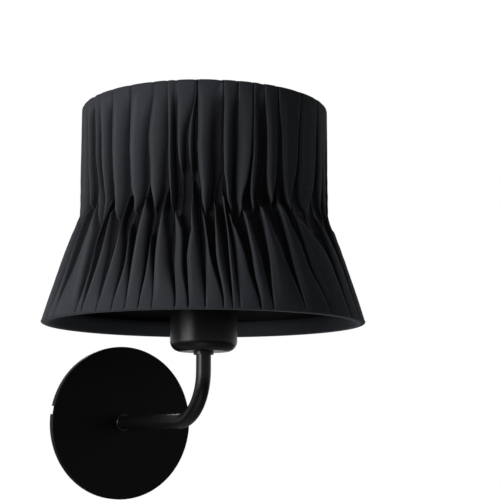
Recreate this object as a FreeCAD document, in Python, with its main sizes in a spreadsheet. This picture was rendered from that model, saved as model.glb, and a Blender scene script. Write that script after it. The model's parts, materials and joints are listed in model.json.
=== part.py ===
"""A black wall light with a gathered fabric shade: wall plate, bent arm, lampholder in a cup, and the shade.

Millimetres. The origin is on the wall, on the axis of the arm. +X is to the right of someone who faces
the wall, +Y goes into the wall, so the lamp stands out along -Y, and +Z is up.
"""

import FreeCAD, Part
import math
import os

import Sketcher

os.makedirs("parts", exist_ok=True)
doc = FreeCAD.newDocument("wall_light")

# Driving dimensions, in millimetres and degrees. A radial or axial play between two pieces is a gap.
SIZES = {
    # Wall plate: a shallow pressed pan, open at the back, with one notch in its skirt
    "plate_diameter": 112.2,
    "plate_depth": 5.0,
    "plate_wall": 1.0,
    "plate_rounding": 0.9,
    "notch_width": 6.0,
    "notch_angle": 171.0,
    # Bracket: a strap with a round hub that is screwed to the wall behind the plate
    "bracket_thickness": 1.5,
    "bracket_width": 18.0,
    "bracket_gap": 0.5,
    "hub_diameter": 44.0,
    "hub_hole": 25.0,
    "slot_spacing": 66.0,
    "slot_width": 4.5,
    "slot_length": 10.0,
    "side_screw_diameter": 3.0,
    "side_screw_height": 2.2,
    "side_screw_grip": 1.0,
    "thread_gap": 0.05,
    "earth_screw_diameter": 3.4,
    "earth_head_diameter": 6.4,
    "earth_head_height": 1.3,
    "earth_washer_height": 0.6,
    # Arm: one tube that leaves the plate square, bends up and ends in the holder cup
    "arm_diameter": 10.0,
    "arm_wall": 1.0,
    "arm_reach": 125.5,
    "arm_bend": 33.0,
    "arm_tail": 0.8,
    "arm_top": 57.0,
    "bore_gap": 0.1,
    "collar_diameter": 12.6,
    "collar_length": 3.0,
    "collar_groove": 0.5,
    "nut_flats": 14.0,
    "base_nut_height": 2.4,
    "washer_diameter": 18.0,
    "washer_height": 0.6,
    # Holder cup and what is stacked in it
    "cup_diameter": 44.8,
    "cup_height": 60.0,
    "cup_bottom": 45.5,
    "cup_wall": 1.0,
    "cup_rounding": 7.0,
    "cup_collar_diameter": 13.5,
    "cup_collar_height": 2.0,
    "cup_nut_height": 3.0,
    # Lampholder for a screw lamp
    "neck_diameter": 17.0,
    "neck_height": 7.0,
    "dome_height": 6.0,
    "cap_diameter": 36.6,
    "cap_height": 34.0,
    "holder_wall": 1.8,
    "seat_height": 9.0,
    "insulator_height": 9.4,
    "shell_bore": 26.4,
    "shell_wall": 0.6,
    "shell_height": 30.0,
    "shell_opening": 22.0,
    "shell_step": 0.9,
    "shell_step_height": 4.5,
    "sleeve_height": 44.0,
    "sleeve_rise": 12.5,
    "thread_diameter": 38.6,
    "thread_height": 20.0,
    "sleeve_lip": 2.0,
    "shoulder_gap": 0.3,
    "contact_width": 5.0,
    "contact_thickness": 0.5,
    "contact_length": 10.0,
    "contact_rise": 2.4,
    "terminal_spacing": 17.0,
    "terminal_width": 6.0,
    "terminal_height": 5.6,
    "terminal_screw_diameter": 3.0,
    "terminal_screw_length": 5.0,
    "lead_diameter": 2.2,
    "lead_spacing": 3.0,
    # Shade fitting
    "fitter_gap": 0.9,
    "fitter_overhang": 5.5,
    "fitter_thickness": 1.5,
    "ring_height": 8.5,
    "ring_flange": 6.6,
    "ring_flange_height": 2.0,
    "ring_wall": 3.2,
    "arm_wire": 3.0,
    "arm_run": 9.0,
    "arm_turn": 12.0,
    # Shade: three wire rings, ribs, a stiff lining and the gathered cover
    "shade_drop": 42.2,
    "flare_height": 72.8,
    "drum_height": 72.5,
    "top_diameter": 166.6,
    "waist_diameter": 168.0,
    "bottom_diameter": 213.8,
    "frame_wire": 3.0,
    "rib_wire": 2.0,
    "rib_count": 6,
    "lining_wall": 0.5,
    "lining_gap": 0.15,
    "top_fold_depth": 0.9,
    "waist_fold_depth": 5.6,
    "bottom_fold_depth": 1.2,
    "cloth_wall": 0.8,
    "hem_width": 10.5,
    "hem_rounding": 1.2,
    "flare_bulge": 1.6,
    "lobe_count": 40,
}


class Size:
    """A size that keeps its formula, so that a sketch or a feature follows the sheet."""

    def __init__(self, value, formula):
        self.value = value
        self.formula = formula

    def __add__(self, other):
        other = as_size(other)
        return Size(self.value + other.value, f"({self.formula} + {other.formula})")

    def __sub__(self, other):
        other = as_size(other)
        return Size(self.value - other.value, f"({self.formula} - {other.formula})")

    def __mul__(self, other):
        other = as_size(other)
        return Size(self.value * other.value, f"({self.formula} * {other.formula})")

    def __truediv__(self, other):
        other = as_size(other)
        return Size(self.value / other.value, f"({self.formula} / {other.formula})")

    def __neg__(self):
        return Size(-self.value, f"(-1 * {self.formula})")

    def __rsub__(self, other):
        return as_size(other) - self

    def __rtruediv__(self, other):
        return as_size(other) / self

    __radd__ = __add__
    __rmul__ = __mul__

    def root(self):
        return Size(math.sqrt(self.value), f"sqrt({self.formula})")


def as_size(number):
    if isinstance(number, Size):
        return number
    return Size(float(number), f"{float(number):.9g}")


sheet = doc.addObject("Spreadsheet::Sheet", "sizes")
for row, (name, number) in enumerate(SIZES.items(), start=1):
    sheet.set(f"A{row}", name.replace("_", " "))
    sheet.set(f"B{row}", str(number))
    sheet.setAlias(f"B{row}", name)
doc.recompute()
own = {name: Size(float(number), f"sizes.{name}") for name, number in SIZES.items()}

pieces = {}


def keep(label, made):
    """Gives a finished sub-part its name and puts it on the list of pieces."""
    made.Label = label
    pieces[label] = made
    return made


# Places: the wall pieces are turned about the arm's axis, the rest about the upright axis of the holder
OUT_OF_WALL = FreeCAD.Rotation(FreeCAD.Vector(1, 0, 0), 90)
FACING_OUT = FreeCAD.Rotation(FreeCAD.Vector(0, 0, 1), 180)


def on_wall_axis(made):
    """Local z becomes the distance from the wall, local y stays up."""
    made.Placement = FreeCAD.Placement(FreeCAD.Vector(0, 0, 0), OUT_OF_WALL)


def on_holder_axis(made):
    """Local z stays up, on the upright end of the arm."""
    made.setExpression("Placement.Base.y", (-own["arm_reach"]).formula)


def new_body(label):
    body = doc.addObject("PartDesign::Body", label)
    return keep(label, body)


def plane_of(body, role):
    return next(plane for plane in body.Origin.OriginFeatures if plane.Role == role)


def new_sketch(body, role, lift=None, turn=None):
    """A sketch on one of the body's own planes, lifted off it or turned in it where that is asked."""
    sketch = body.newObject("Sketcher::SketchObject", body.Label + "_sketch")
    sketch.AttachmentSupport = [(plane_of(body, role), "")]
    sketch.MapMode = "FlatFace"
    if lift is not None:
        sketch.setExpression("AttachmentOffset.Base.z", lift.formula)
    if turn is not None:
        sketch.setExpression("AttachmentOffset.Rotation.Angle", turn.formula)
    return sketch


def hold(sketch, kind, geometry, size):
    """Adds one driving constraint and binds it to the sheet."""
    index = sketch.addConstraint(Sketcher.Constraint(kind, *geometry, size.value))
    sketch.setExpression(f"Constraints[{index}]", size.formula)


def pin(sketch, geometry, end, across, up):
    """Holds a point of the sketch at its distances from the sketch's origin."""
    for size, kind, axis in ((across, "DistanceX", -2), (up, "DistanceY", -1)):
        if size.value == 0:
            sketch.addConstraint(Sketcher.Constraint("PointOnObject", geometry, end, axis))
        else:
            hold(sketch, kind, (-1, 1, geometry, end), size)


def outline(sketch, corners):
    """A closed outline of straight lines."""
    corners = [(as_size(across), as_size(up)) for across, up in corners]
    spots = [FreeCAD.Vector(across.value, up.value, 0) for across, up in corners]
    first = sketch.GeometryCount
    count = len(spots)
    for i in range(count):
        sketch.addGeometry(Part.LineSegment(spots[i], spots[(i + 1) % count]), False)
    for i in range(count):
        following = first + (i + 1) % count
        sketch.addConstraint(Sketcher.Constraint("Coincident", first + i, 2, following, 1))
    for i, (across, up) in enumerate(corners):
        pin(sketch, first + i, 1, across, up)


def circle(sketch, across, up, diameter):
    across = as_size(across)
    up = as_size(up)
    centre = FreeCAD.Vector(across.value, up.value, 0)
    drawn = sketch.addGeometry(
        Part.Circle(centre, FreeCAD.Vector(0, 0, 1), diameter.value / 2), False
    )
    hold(sketch, "Diameter", (drawn,), diameter)
    pin(sketch, drawn, 3, across, up)


def slot(sketch, up, width, length):
    """An upright slot with round ends, centred on the sketch's vertical axis."""
    radius = width.value / 2
    half = (length.value - width.value) / 2
    left = FreeCAD.Vector(-radius, 0, 0)
    right = FreeCAD.Vector(radius, 0, 0)
    high = FreeCAD.Vector(0, up.value + half, 0)
    low = FreeCAD.Vector(0, up.value - half, 0)
    normal = FreeCAD.Vector(0, 0, 1)
    first = sketch.GeometryCount
    sketch.addGeometry(Part.ArcOfCircle(Part.Circle(high, normal, radius), 0, math.pi), False)
    sketch.addGeometry(Part.LineSegment(high + left, low + left), False)
    sketch.addGeometry(Part.ArcOfCircle(Part.Circle(low, normal, radius), math.pi, 2 * math.pi), False)
    sketch.addGeometry(Part.LineSegment(low + right, high + right), False)
    for i in range(4):
        following = first + (i + 1) % 4
        sketch.addConstraint(Sketcher.Constraint("Tangent", first + i, 2, following, 1))
    sketch.addConstraint(Sketcher.Constraint("Equal", first, first + 2))
    hold(sketch, "Radius", (first,), width / 2)
    pin(sketch, first, 3, as_size(0), up + (length - width) / 2)
    pin(sketch, first + 2, 3, as_size(0), up - (length - width) / 2)


def turn_profile(body, corners):
    """A solid of revolution from corners of (radius, height)."""
    sketch = new_sketch(body, "XZ_Plane")
    outline(sketch, corners)
    made = body.newObject("PartDesign::Revolution", body.Label + "_turn")
    made.Profile = sketch
    made.ReferenceAxis = (sketch, ["V_Axis"])
    made.Angle = 360
    return made


def turned(label, corners, place):
    body = new_body(label)
    turn_profile(body, corners)
    place(body)
    return body


def pad(body, sketch, height):
    made = body.newObject("PartDesign::Pad", body.Label + "_pad")
    made.Profile = sketch
    made.setExpression("Length", height.formula)
    return made


def cut_through(body, sketch):
    """Cuts the sketch through the whole body, to both sides of its plane."""
    made = body.newObject("PartDesign::Pocket", body.Label + "_cut")
    made.Profile = sketch
    made.Type = "ThroughAll"
    made.Midplane = True
    return made


def round_circles(body, size, chosen):
    """Rounds the circular edges whose (radius, height) are chosen."""
    doc.recompute()
    base = body.Tip
    names = []
    for number, edge in enumerate(base.Shape.Edges, start=1):
        if isinstance(edge.Curve, Part.Circle) and edge.isClosed():
            for radius, height in chosen:
                same_radius = abs(edge.Curve.Radius - radius.value) < 0.001
                if same_radius and abs(edge.Curve.Center.z - height.value) < 0.001:
                    names.append(f"Edge{number}")
    made = body.newObject("PartDesign::Fillet", body.Label + "_rounding")
    made.Base = (base, names)
    made.setExpression("Radius", size.formula)
    return made


def hexagon(sketch, flats):
    """A hexagon with two corners on the sketch's horizontal axis."""
    corner = flats / math.sqrt(3)
    half = flats / 2
    outline(
        sketch,
        [
            (corner, 0),
            (corner / 2, half),
            (-corner / 2, half),
            (-corner, 0),
            (-corner / 2, -half),
            (corner / 2, -half),
        ],
    )


# The names of the sizes that many pieces share
plate_radius = own["plate_diameter"] / 2
plate_depth = own["plate_depth"]
plate_inside = plate_depth - own["plate_wall"]
arm_radius = own["arm_diameter"] / 2
arm_hole = arm_radius + own["bore_gap"]
cup_radius = own["cup_diameter"] / 2
cup_bottom = own["cup_bottom"]
cup_floor = cup_bottom + own["cup_wall"]
cup_top = cup_bottom + own["cup_height"]


def wall_plate():
    body = turned(
        "wall_plate",
        [
            (plate_radius, 0),
            (plate_radius, plate_depth),
            (arm_hole, plate_depth),
            (arm_hole, plate_inside),
            (plate_radius - own["plate_wall"], plate_inside),
            (plate_radius - own["plate_wall"], 0),
        ],
        on_wall_axis,
    )
    round_circles(body, own["plate_rounding"], [(plate_radius, plate_depth)])
    half = own["notch_width"] / 2
    notch = new_sketch(body, "XY_Plane", turn=own["notch_angle"])
    inside = plate_radius - 2 * own["plate_wall"]
    outside = plate_radius + own["plate_wall"]
    outline(notch, [(inside, -half), (outside, -half), (outside, half), (inside, half)])
    made = body.newObject("PartDesign::Pocket", "skirt_notch")
    made.Profile = notch
    made.Reversed = True
    made.setExpression("Length", plate_inside.formula)
    screw_holes = new_sketch(body, "XZ_Plane")
    circle(screw_holes, 0, own["side_screw_height"], own["side_screw_diameter"] + 2 * own["bore_gap"])
    cut_through(body, screw_holes)


def wall_bracket():
    body = new_body("wall_bracket")
    on_wall_axis(body)
    reach = plate_radius - own["plate_wall"] - own["bracket_gap"]
    half = own["bracket_width"] / 2
    thickness = own["bracket_thickness"]
    strap = new_sketch(body, "XY_Plane")
    outline(strap, [(half, -reach), (half, reach), (-half, reach), (-half, -reach)])
    pad(body, strap, thickness)
    hub = new_sketch(body, "XY_Plane")
    circle(hub, 0, 0, own["hub_diameter"])
    pad(body, hub, thickness)
    for side in (1, -1):
        ear = new_sketch(body, "XY_Plane")
        low = side * reach
        high = side * (reach - thickness)
        outline(ear, [(half, low), (half, high), (-half, high), (-half, low)])
        pad(body, ear, plate_inside - own["bracket_gap"])
    holes = new_sketch(body, "XY_Plane")
    circle(holes, 0, 0, own["hub_hole"])
    circle(holes, -(own["hub_diameter"] + own["hub_hole"]) / 4, 0, own["earth_screw_diameter"])
    for side in (1, -1):
        slot(holes, side * own["slot_spacing"] / 2, own["slot_width"], own["slot_length"])
    cut_through(body, holes)
    screw_holes = new_sketch(body, "XZ_Plane")
    circle(screw_holes, 0, own["side_screw_height"], own["side_screw_diameter"])
    cut_through(body, screw_holes)


def ring_of(label, inner, outer, low, high, place):
    """A plain ring of square section."""
    return turned(label, [(inner, low), (outer, low), (outer, high), (inner, high)], place)


def nut_of(label, low, height, place):
    """A hexagonal nut on the threaded end of the arm."""
    body = new_body(label)
    sketch = new_sketch(body, "XY_Plane", lift=low)
    hexagon(sketch, own["nut_flats"])
    circle(sketch, 0, 0, own["arm_diameter"] + 2 * own["thread_gap"])
    pad(body, sketch, height)
    place(body)
    return body


def group(label, members):
    made = doc.addObject("Part::Compound", label)
    made.Links = members
    return keep(label, made)


def plain_form(kind, name, sizes, place=None):
    """A Part primitive with its sizes, and where it is asked its place, bound to the sheet."""
    made = doc.addObject(kind, name)
    for field, size in sizes.items():
        made.setExpression(field, as_size(size).formula)
    for axis, size in (place or {}).items():
        made.setExpression(f"Placement.Base.{axis}", as_size(size).formula)
    return made


def cut_away(name, base, tools):
    """Takes one form after another away from a base form."""
    for number, tool in enumerate(tools, start=1):
        made = doc.addObject("Part::Cut", f"{name}_{number}")
        made.Base = base
        made.Tool = tool
        base = made
    return base


def side_screws():
    """Two grub screws that hold the plate on the bracket's ears, one above and one below."""
    radius = own["side_screw_diameter"] / 2 - own["thread_gap"]
    length = own["plate_wall"] + own["bracket_gap"] + own["bracket_thickness"] + own["side_screw_grip"]
    socket_width = own["side_screw_diameter"] / 4
    socket_depth = length / 3
    made = []
    for name, side in (("upper", 1), ("lower", -1)):
        low = plate_radius - length if side == 1 else -plate_radius
        shank = plain_form(
            "Part::Cylinder",
            f"{name}_shank",
            {"Radius": radius, "Height": length},
            {"y": -own["side_screw_height"], "z": low},
        )
        mouth = plate_radius - socket_depth if side == 1 else -plate_radius
        socket = plain_form(
            "Part::Prism",
            f"{name}_socket",
            {"Circumradius": socket_width, "Height": socket_depth},
            {"y": -own["side_screw_height"], "z": mouth},
        )
        made.append(cut_away(f"{name}_side_screw", shank, [socket]))
    group("side_screws", made)


def earth_screw():
    """The earth terminal on the bracket's hub: a pan head screw over a washer."""
    across = -(own["hub_diameter"] + own["hub_hole"]) / 4

    def place(body):
        on_wall_axis(body)
        body.setExpression("Placement.Base.x", across.formula)

    washer_low = own["bracket_thickness"]
    washer_high = washer_low + own["earth_washer_height"]
    head_radius = own["earth_head_diameter"] / 2
    shank = own["earth_screw_diameter"] / 2 - own["thread_gap"]
    hole = own["earth_screw_diameter"] / 2 + own["bore_gap"]
    rim = head_radius + own["earth_washer_height"]
    ring_of("earth_washer", hole, rim, washer_low, washer_high, place)
    top = washer_high + own["earth_head_height"]
    crown = own["earth_head_height"] / 3
    turned(
        "earth_screw",
        [
            (0, own["bore_gap"]),
            (shank, own["bore_gap"]),
            (shank, washer_high),
            (head_radius, washer_high),
            (head_radius, top - crown),
            (head_radius - crown, top),
            (0, top),
        ],
        place,
    )


def arm_tube():
    """The tube runs square out of the plate, turns up in one bend and ends inside the lampholder's neck."""
    body = new_body("arm_tube")
    body.Placement = FreeCAD.Placement(FreeCAD.Vector(0, 0, 0), FACING_OUT)
    reach = own["arm_reach"]
    bend = own["arm_bend"]
    ring = new_sketch(body, "XZ_Plane", lift=-own["arm_tail"])
    circle(ring, 0, 0, own["arm_diameter"])
    circle(ring, 0, 0, own["arm_diameter"] - 2 * own["arm_wall"])
    path = new_sketch(body, "YZ_Plane")
    start = FreeCAD.Vector(own["arm_tail"].value, 0, 0)
    turn_start = FreeCAD.Vector((reach - bend).value, 0, 0)
    turn_end = FreeCAD.Vector(reach.value, bend.value, 0)
    top = FreeCAD.Vector(reach.value, own["arm_top"].value, 0)
    centre = FreeCAD.Vector((reach - bend).value, bend.value, 0)
    round_corner = Part.Circle(centre, FreeCAD.Vector(0, 0, 1), bend.value)
    out = path.addGeometry(Part.LineSegment(start, turn_start), False)
    corner = path.addGeometry(Part.ArcOfCircle(round_corner, -math.pi / 2, 0), False)
    up = path.addGeometry(Part.LineSegment(turn_end, top), False)
    path.addConstraint(Sketcher.Constraint("Coincident", out, 2, corner, 1))
    path.addConstraint(Sketcher.Constraint("Coincident", corner, 2, up, 1))
    pin(path, out, 1, own["arm_tail"], as_size(0))
    pin(path, out, 2, reach - bend, as_size(0))
    pin(path, up, 1, reach, bend)
    pin(path, up, 2, reach, own["arm_top"])
    hold(path, "DistanceX", (-1, 1, corner, 3), reach - bend)
    swept = body.newObject("PartDesign::AdditivePipe", "arm_sweep")
    swept.Profile = ring
    swept.Spine = path


def base_collar():
    """The turned collar against the plate's face, with a shallow groove round it."""
    radius = own["collar_diameter"] / 2
    groove = own["collar_groove"]
    low = plate_depth
    high = plate_depth + own["collar_length"]
    groove_low = low + own["collar_length"] * 0.4
    turned(
        "base_collar",
        [
            (arm_hole, low),
            (radius, low),
            (radius, groove_low),
            (radius - groove, groove_low),
            (radius - groove, groove_low + groove),
            (radius, groove_low + groove),
            (radius, high - groove),
            (radius - groove, high),
            (arm_hole, high),
        ],
        on_wall_axis,
    )


def base_fixing():
    """The washer and thin nut that clamp the plate between them and the collar."""
    washer_low = plate_inside - own["washer_height"]
    ring_of("base_washer", arm_hole, own["washer_diameter"] / 2, washer_low, plate_inside, on_wall_axis)
    nut_of("base_nut", washer_low - own["base_nut_height"], own["base_nut_height"], on_wall_axis)


def holder_cup():
    """The metal cup round the lampholder, with a collar under it and a washer and nut on its floor."""
    inner = cup_radius - own["cup_wall"]
    body = turned(
        "holder_cup",
        [
            (arm_hole, cup_bottom),
            (cup_radius, cup_bottom),
            (cup_radius, cup_top),
            (inner, cup_top),
            (inner, cup_floor),
            (arm_hole, cup_floor),
        ],
        on_holder_axis,
    )
    round_circles(body, own["cup_rounding"], [(cup_radius, cup_bottom)])
    round_circles(body, own["cup_rounding"] - own["cup_wall"], [(inner, cup_floor)])
    collar_low = cup_bottom - own["cup_collar_height"]
    ring_of("cup_collar", arm_hole, own["cup_collar_diameter"] / 2, collar_low, cup_bottom, on_holder_axis)
    washer_top = cup_floor + own["washer_height"]
    ring_of("cup_washer", arm_hole, own["washer_diameter"] / 2, cup_floor, washer_top, on_holder_axis)
    nut_of("cup_nut", washer_top, own["cup_nut_height"], on_holder_axis)


# Heights in the lampholder, from the nut in the cup upwards
neck_low = cup_floor + own["washer_height"] + own["cup_nut_height"]
dome_low = neck_low + own["neck_height"]
dome_high = dome_low + own["dome_height"]
cap_top = neck_low + own["cap_height"]
ledge = cap_top - own["seat_height"]
insulator_top = ledge + own["insulator_height"]
cap_radius = own["cap_diameter"] / 2
cap_bore = cap_radius - own["holder_wall"]
thread_radius = own["thread_diameter"] / 2
sleeve_top = cup_top + own["sleeve_rise"]
sleeve_low = sleeve_top - own["sleeve_height"]
shell_bore = own["shell_bore"] / 2
shell_radius = shell_bore + own["shell_wall"]
fitter_top = cup_top + own["fitter_thickness"]


def lampholder_cap():
    """The lower half of the lampholder, screwed on the end of the arm; a ledge inside it bears the insulator."""
    wall = own["holder_wall"]
    neck = own["neck_diameter"] / 2
    arm_thread = arm_radius + own["thread_gap"]
    under_ledge = cap_bore - wall
    dome_inside = dome_low + wall
    turned(
        "lampholder_cap",
        [
            (arm_thread, neck_low),
            (neck, neck_low),
            (neck, dome_low),
            (cap_radius, dome_high),
            (cap_radius, cap_top),
            (cap_bore, cap_top),
            (cap_bore, ledge),
            (under_ledge, ledge),
            (under_ledge, dome_high + wall),
            (neck - wall / 2, dome_inside),
            (arm_thread, dome_inside),
        ],
        on_holder_axis,
    )


def lampholder_core():
    """Insulator, and the screw shell, which is narrower round the tongue than where the lamp's cap goes."""
    ring = [
        (0, ledge),
        (cap_bore - own["bore_gap"], ledge),
        (cap_bore - own["bore_gap"], insulator_top),
        (0, insulator_top),
    ]
    turned("contact_insulator", ring, on_holder_axis)
    opening = own["shell_opening"] / 2
    flange_top = insulator_top + own["shell_wall"]
    step_top = insulator_top + own["shell_step_height"]
    under_step = step_top - own["shell_wall"]
    shell_top = insulator_top + own["shell_height"]
    turned(
        "screw_shell",
        [
            (opening, insulator_top),
            (shell_radius - own["shell_step"], insulator_top),
            (shell_radius - own["shell_step"], under_step),
            (shell_radius, under_step),
            (shell_radius, shell_top),
            (shell_bore, shell_top),
            (shell_bore, step_top),
            (shell_bore - own["shell_step"], step_top),
            (shell_bore - own["shell_step"], flange_top),
            (opening, flange_top),
        ],
        on_holder_axis,
    )


def holder_sleeve():
    """The upper half of the lampholder: a skirt over the cap, a shoulder in the cup, a thread and a lip."""
    wall = own["holder_wall"]
    skirt_bore = cap_radius + own["bore_gap"]
    skirt = skirt_bore + wall
    shoulder = cup_radius - own["cup_wall"] - own["shoulder_gap"]
    thread_low = sleeve_top - own["thread_height"]
    shoulder_low = thread_low - 2 * wall
    bore = thread_radius - wall
    lip = shell_radius + own["shoulder_gap"]
    lip_low = sleeve_top - own["sleeve_lip"]
    turned(
        "holder_sleeve",
        [
            (skirt_bore, sleeve_low),
            (skirt, sleeve_low),
            (skirt, shoulder_low),
            (shoulder, shoulder_low),
            (shoulder, thread_low),
            (thread_radius, thread_low),
            (thread_radius, sleeve_top),
            (lip, sleeve_top),
            (lip, lip_low),
            (bore, lip_low),
            (bore, shoulder_low),
            (skirt_bore, shoulder_low),
        ],
        on_holder_axis,
    )


def contacts():
    """The sprung tongue under the lamp's centre contact, its foot, and the two terminals with their screws."""
    half_width = own["contact_width"] / 2
    thickness = own["contact_thickness"]
    root = own["shell_opening"] / 2 - 4 * thickness
    foot_length = 3 * thickness
    place = {"y": -own["arm_reach"] - half_width, "z": insulator_top}
    foot = plain_form(
        "Part::Box",
        "contact_foot",
        {"Length": foot_length, "Width": own["contact_width"], "Height": thickness},
        place | {"x": -root - foot_length + own["bore_gap"]},
    )
    keep("contact_foot", foot)
    slant = math.degrees(math.atan2(own["contact_rise"].value, own["contact_length"].value))
    tongue = doc.addObject("Part::Box", "centre_contact")
    tongue.Placement.Rotation = FreeCAD.Rotation(FreeCAD.Vector(0, 1, 0), -slant)
    tongue.setExpression("Length", own["contact_length"].formula)
    tongue.setExpression("Width", own["contact_width"].formula)
    tongue.setExpression("Height", thickness.formula)
    tongue.setExpression("Placement.Base.x", (-root + 3 * own["bore_gap"]).formula)
    tongue.setExpression("Placement.Base.y", (-own["arm_reach"] - half_width).formula)
    tongue.setExpression("Placement.Base.z", (insulator_top + own["bore_gap"]).formula)
    keep("centre_contact", tongue)
    blocks = []
    screws = []
    for name, side in (("left", -1), ("right", 1)):
        centre = side * own["terminal_spacing"] / 2
        width = own["terminal_width"]
        low = ledge - own["terminal_height"]
        block = plain_form(
            "Part::Box",
            f"{name}_block",
            {"Length": width, "Width": width, "Height": own["terminal_height"]},
            {"x": centre - width / 2, "y": -own["arm_reach"] - width / 2, "z": low},
        )
        wire_hole = plain_form(
            "Part::Cylinder",
            f"{name}_wire_hole",
            {"Radius": own["lead_diameter"] / 2 + own["bore_gap"], "Height": own["terminal_height"] * 0.7},
            {"x": centre - side * own["lead_diameter"] / 3, "y": -own["arm_reach"], "z": low},
        )
        across = centre + side * (width / 2 - own["terminal_screw_length"] * 0.4)
        screw_height = low + own["terminal_height"] / 2
        outwards = FreeCAD.Rotation(FreeCAD.Vector(0, 1, 0), 90 * side)
        forms = []
        for part_name, gap in (("screw_hole", 0), ("screw", own["thread_gap"])):
            form = doc.addObject("Part::Cylinder", f"{name}_{part_name}")
            form.Placement.Rotation = outwards
            form.setExpression("Radius", (own["terminal_screw_diameter"] / 2 - gap).formula)
            form.setExpression("Height", own["terminal_screw_length"].formula)
            form.setExpression("Placement.Base.x", across.formula)
            form.setExpression("Placement.Base.y", (-own["arm_reach"]).formula)
            form.setExpression("Placement.Base.z", screw_height.formula)
            forms.append(form)
        blocks.append(cut_away(f"{name}_terminal", block, [wire_hole, forms[0]]))
        screws.append(forms[1])
    group("terminals", blocks)
    group("terminal_screws", screws)


def shade_ring():
    """The threaded ring that clamps the shade's fitting on the cup's rim."""
    bore = thread_radius + own["thread_gap"]
    flange = thread_radius + own["ring_flange"]
    body_radius = thread_radius + own["ring_wall"]
    flange_top = fitter_top + own["ring_flange_height"]
    top = fitter_top + own["ring_height"]
    body = turned(
        "shade_ring",
        [
            (bore, fitter_top),
            (flange, fitter_top),
            (flange, flange_top),
            (body_radius, flange_top),
            (body_radius, top),
            (bore, top),
        ],
        on_holder_axis,
    )
    round_circles(body, own["ring_flange_height"] / 4, [(flange, flange_top), (body_radius, top)])


# The shade's heights and radii: the lining lies inside the folds, the wires inside the lining
waist_height = cup_top - own["shade_drop"] + own["flare_height"]
shade_low = cup_top - own["shade_drop"]
shade_high = waist_height + own["drum_height"]
wire = own["frame_wire"] / 2
cloth = own["cloth_wall"]
gap = own["lining_gap"]
lining_low = own["bottom_diameter"] / 2 - own["bottom_fold_depth"] - cloth - gap
lining_waist = own["waist_diameter"] / 2 - own["waist_fold_depth"] - cloth - gap
lining_high = own["top_diameter"] / 2 - own["top_fold_depth"] - cloth - gap
flare_lean = (lining_low - lining_waist) / own["flare_height"]
drum_lean = (lining_high - lining_waist) / own["drum_height"]
flare_stretch = (1 + flare_lean * flare_lean).root()
floor_inside = shade_low + cloth + gap
roof_inside = shade_high - cloth - gap
wire_inset = own["lining_wall"] + gap + wire
low_ring_height = floor_inside + wire
top_ring_height = roof_inside - wire
low_ring_radius = lining_low - flare_lean * (low_ring_height - shade_low) - wire_inset * flare_stretch
waist_ring_radius = lining_waist - wire_inset
top_ring_radius = lining_high - drum_lean * (shade_high - top_ring_height) - wire_inset


def frame_rings():
    """Three wire rings."""
    for label, radius, height in (
        ("top_ring", top_ring_radius, top_ring_height),
        ("waist_ring", waist_ring_radius, waist_height),
        ("bottom_ring", low_ring_radius, low_ring_height),
    ):
        ring = plain_form("Part::Torus", label, {"Radius1": radius, "Radius2": wire}, {"z": height})
        on_holder_axis(ring)
        keep(label, ring)


def linings():
    """Two stiff linings that meet on the waist ring: a drum above it and a flare below."""
    wall = own["lining_wall"]
    low = floor_inside
    joint = gap / 2
    low_radius = lining_low - flare_lean * (low - shade_low)
    turned(
        "lower_lining",
        [
            (low_radius - wall * flare_stretch, low),
            (low_radius, low),
            (lining_waist, waist_height - joint),
            (lining_waist - wall, waist_height - joint),
        ],
        on_holder_axis,
    )
    high_radius = lining_high - drum_lean * (shade_high - roof_inside)
    turned(
        "upper_lining",
        [
            (lining_waist - wall, waist_height + joint),
            (lining_waist, waist_height + joint),
            (high_radius, roof_inside),
            (high_radius - wall, roof_inside),
        ],
        on_holder_axis,
    )


def shape_piece(label, shape):
    """A sub-part made with Part's own functions, set on the holder's axis."""
    made = doc.addObject("Part::Feature", label)
    made.Shape = shape
    on_holder_axis(made)
    return keep(label, made)


def spin(shape, degrees):
    copy = shape.copy()
    copy.rotate(FreeCAD.Vector(0, 0, 0), FreeCAD.Vector(0, 0, 1), degrees)
    return copy


def straight_wire(low, high, diameter):
    """A straight wire between two points of (radius, height) in one upright plane."""
    start = FreeCAD.Vector(low[0], 0, low[1])
    run = FreeCAD.Vector(high[0], 0, high[1]) - start
    return Part.makeCylinder(diameter / 2, run.Length, start, run)


def frame_ribs():
    """Upright wires between the rings, butt welded: one set in the drum and one in the flare."""
    count = int(own["rib_count"].value)
    reach = (wire + gap).value
    for label, low_radius, low, high_radius, high in (
        ("upper_ribs", waist_ring_radius, waist_height, top_ring_radius, top_ring_height),
        ("lower_ribs", low_ring_radius, low_ring_height, waist_ring_radius, waist_height),
    ):
        start = FreeCAD.Vector(low_radius.value, 0, low.value)
        end = FreeCAD.Vector(high_radius.value, 0, high.value)
        along = (end - start).normalize()
        start = start + along * reach
        end = end - along * reach
        rib = straight_wire((start.x, start.z), (end.x, end.z), own["rib_wire"].value)
        ribs = [spin(rib, 360 / count * number) for number in range(count)]
        shape_piece(label, Part.makeCompound(ribs))


def rounded_path(points, radii):
    """Straight runs through the points, with a tangent arc of the given radius at each inner one."""
    edges = []
    here = points[0]
    for before, point, after, radius in zip(points, points[1:], points[2:], radii):
        back = (before - point).normalize()
        on = (after - point).normalize()
        half_angle = back.getAngle(on) / 2
        cut = radius / math.tan(half_angle)
        centre = point + (back + on).normalize() * (radius / math.sin(half_angle))
        first = point + back * cut
        last = point + on * cut
        middle = centre + (point - centre).normalize() * radius
        edges.append(Part.LineSegment(here, first).toShape())
        edges.append(Part.Arc(first, middle, last).toShape())
        here = last
    edges.append(Part.LineSegment(here, points[-1]).toShape())
    return Part.Wire(edges)


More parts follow.
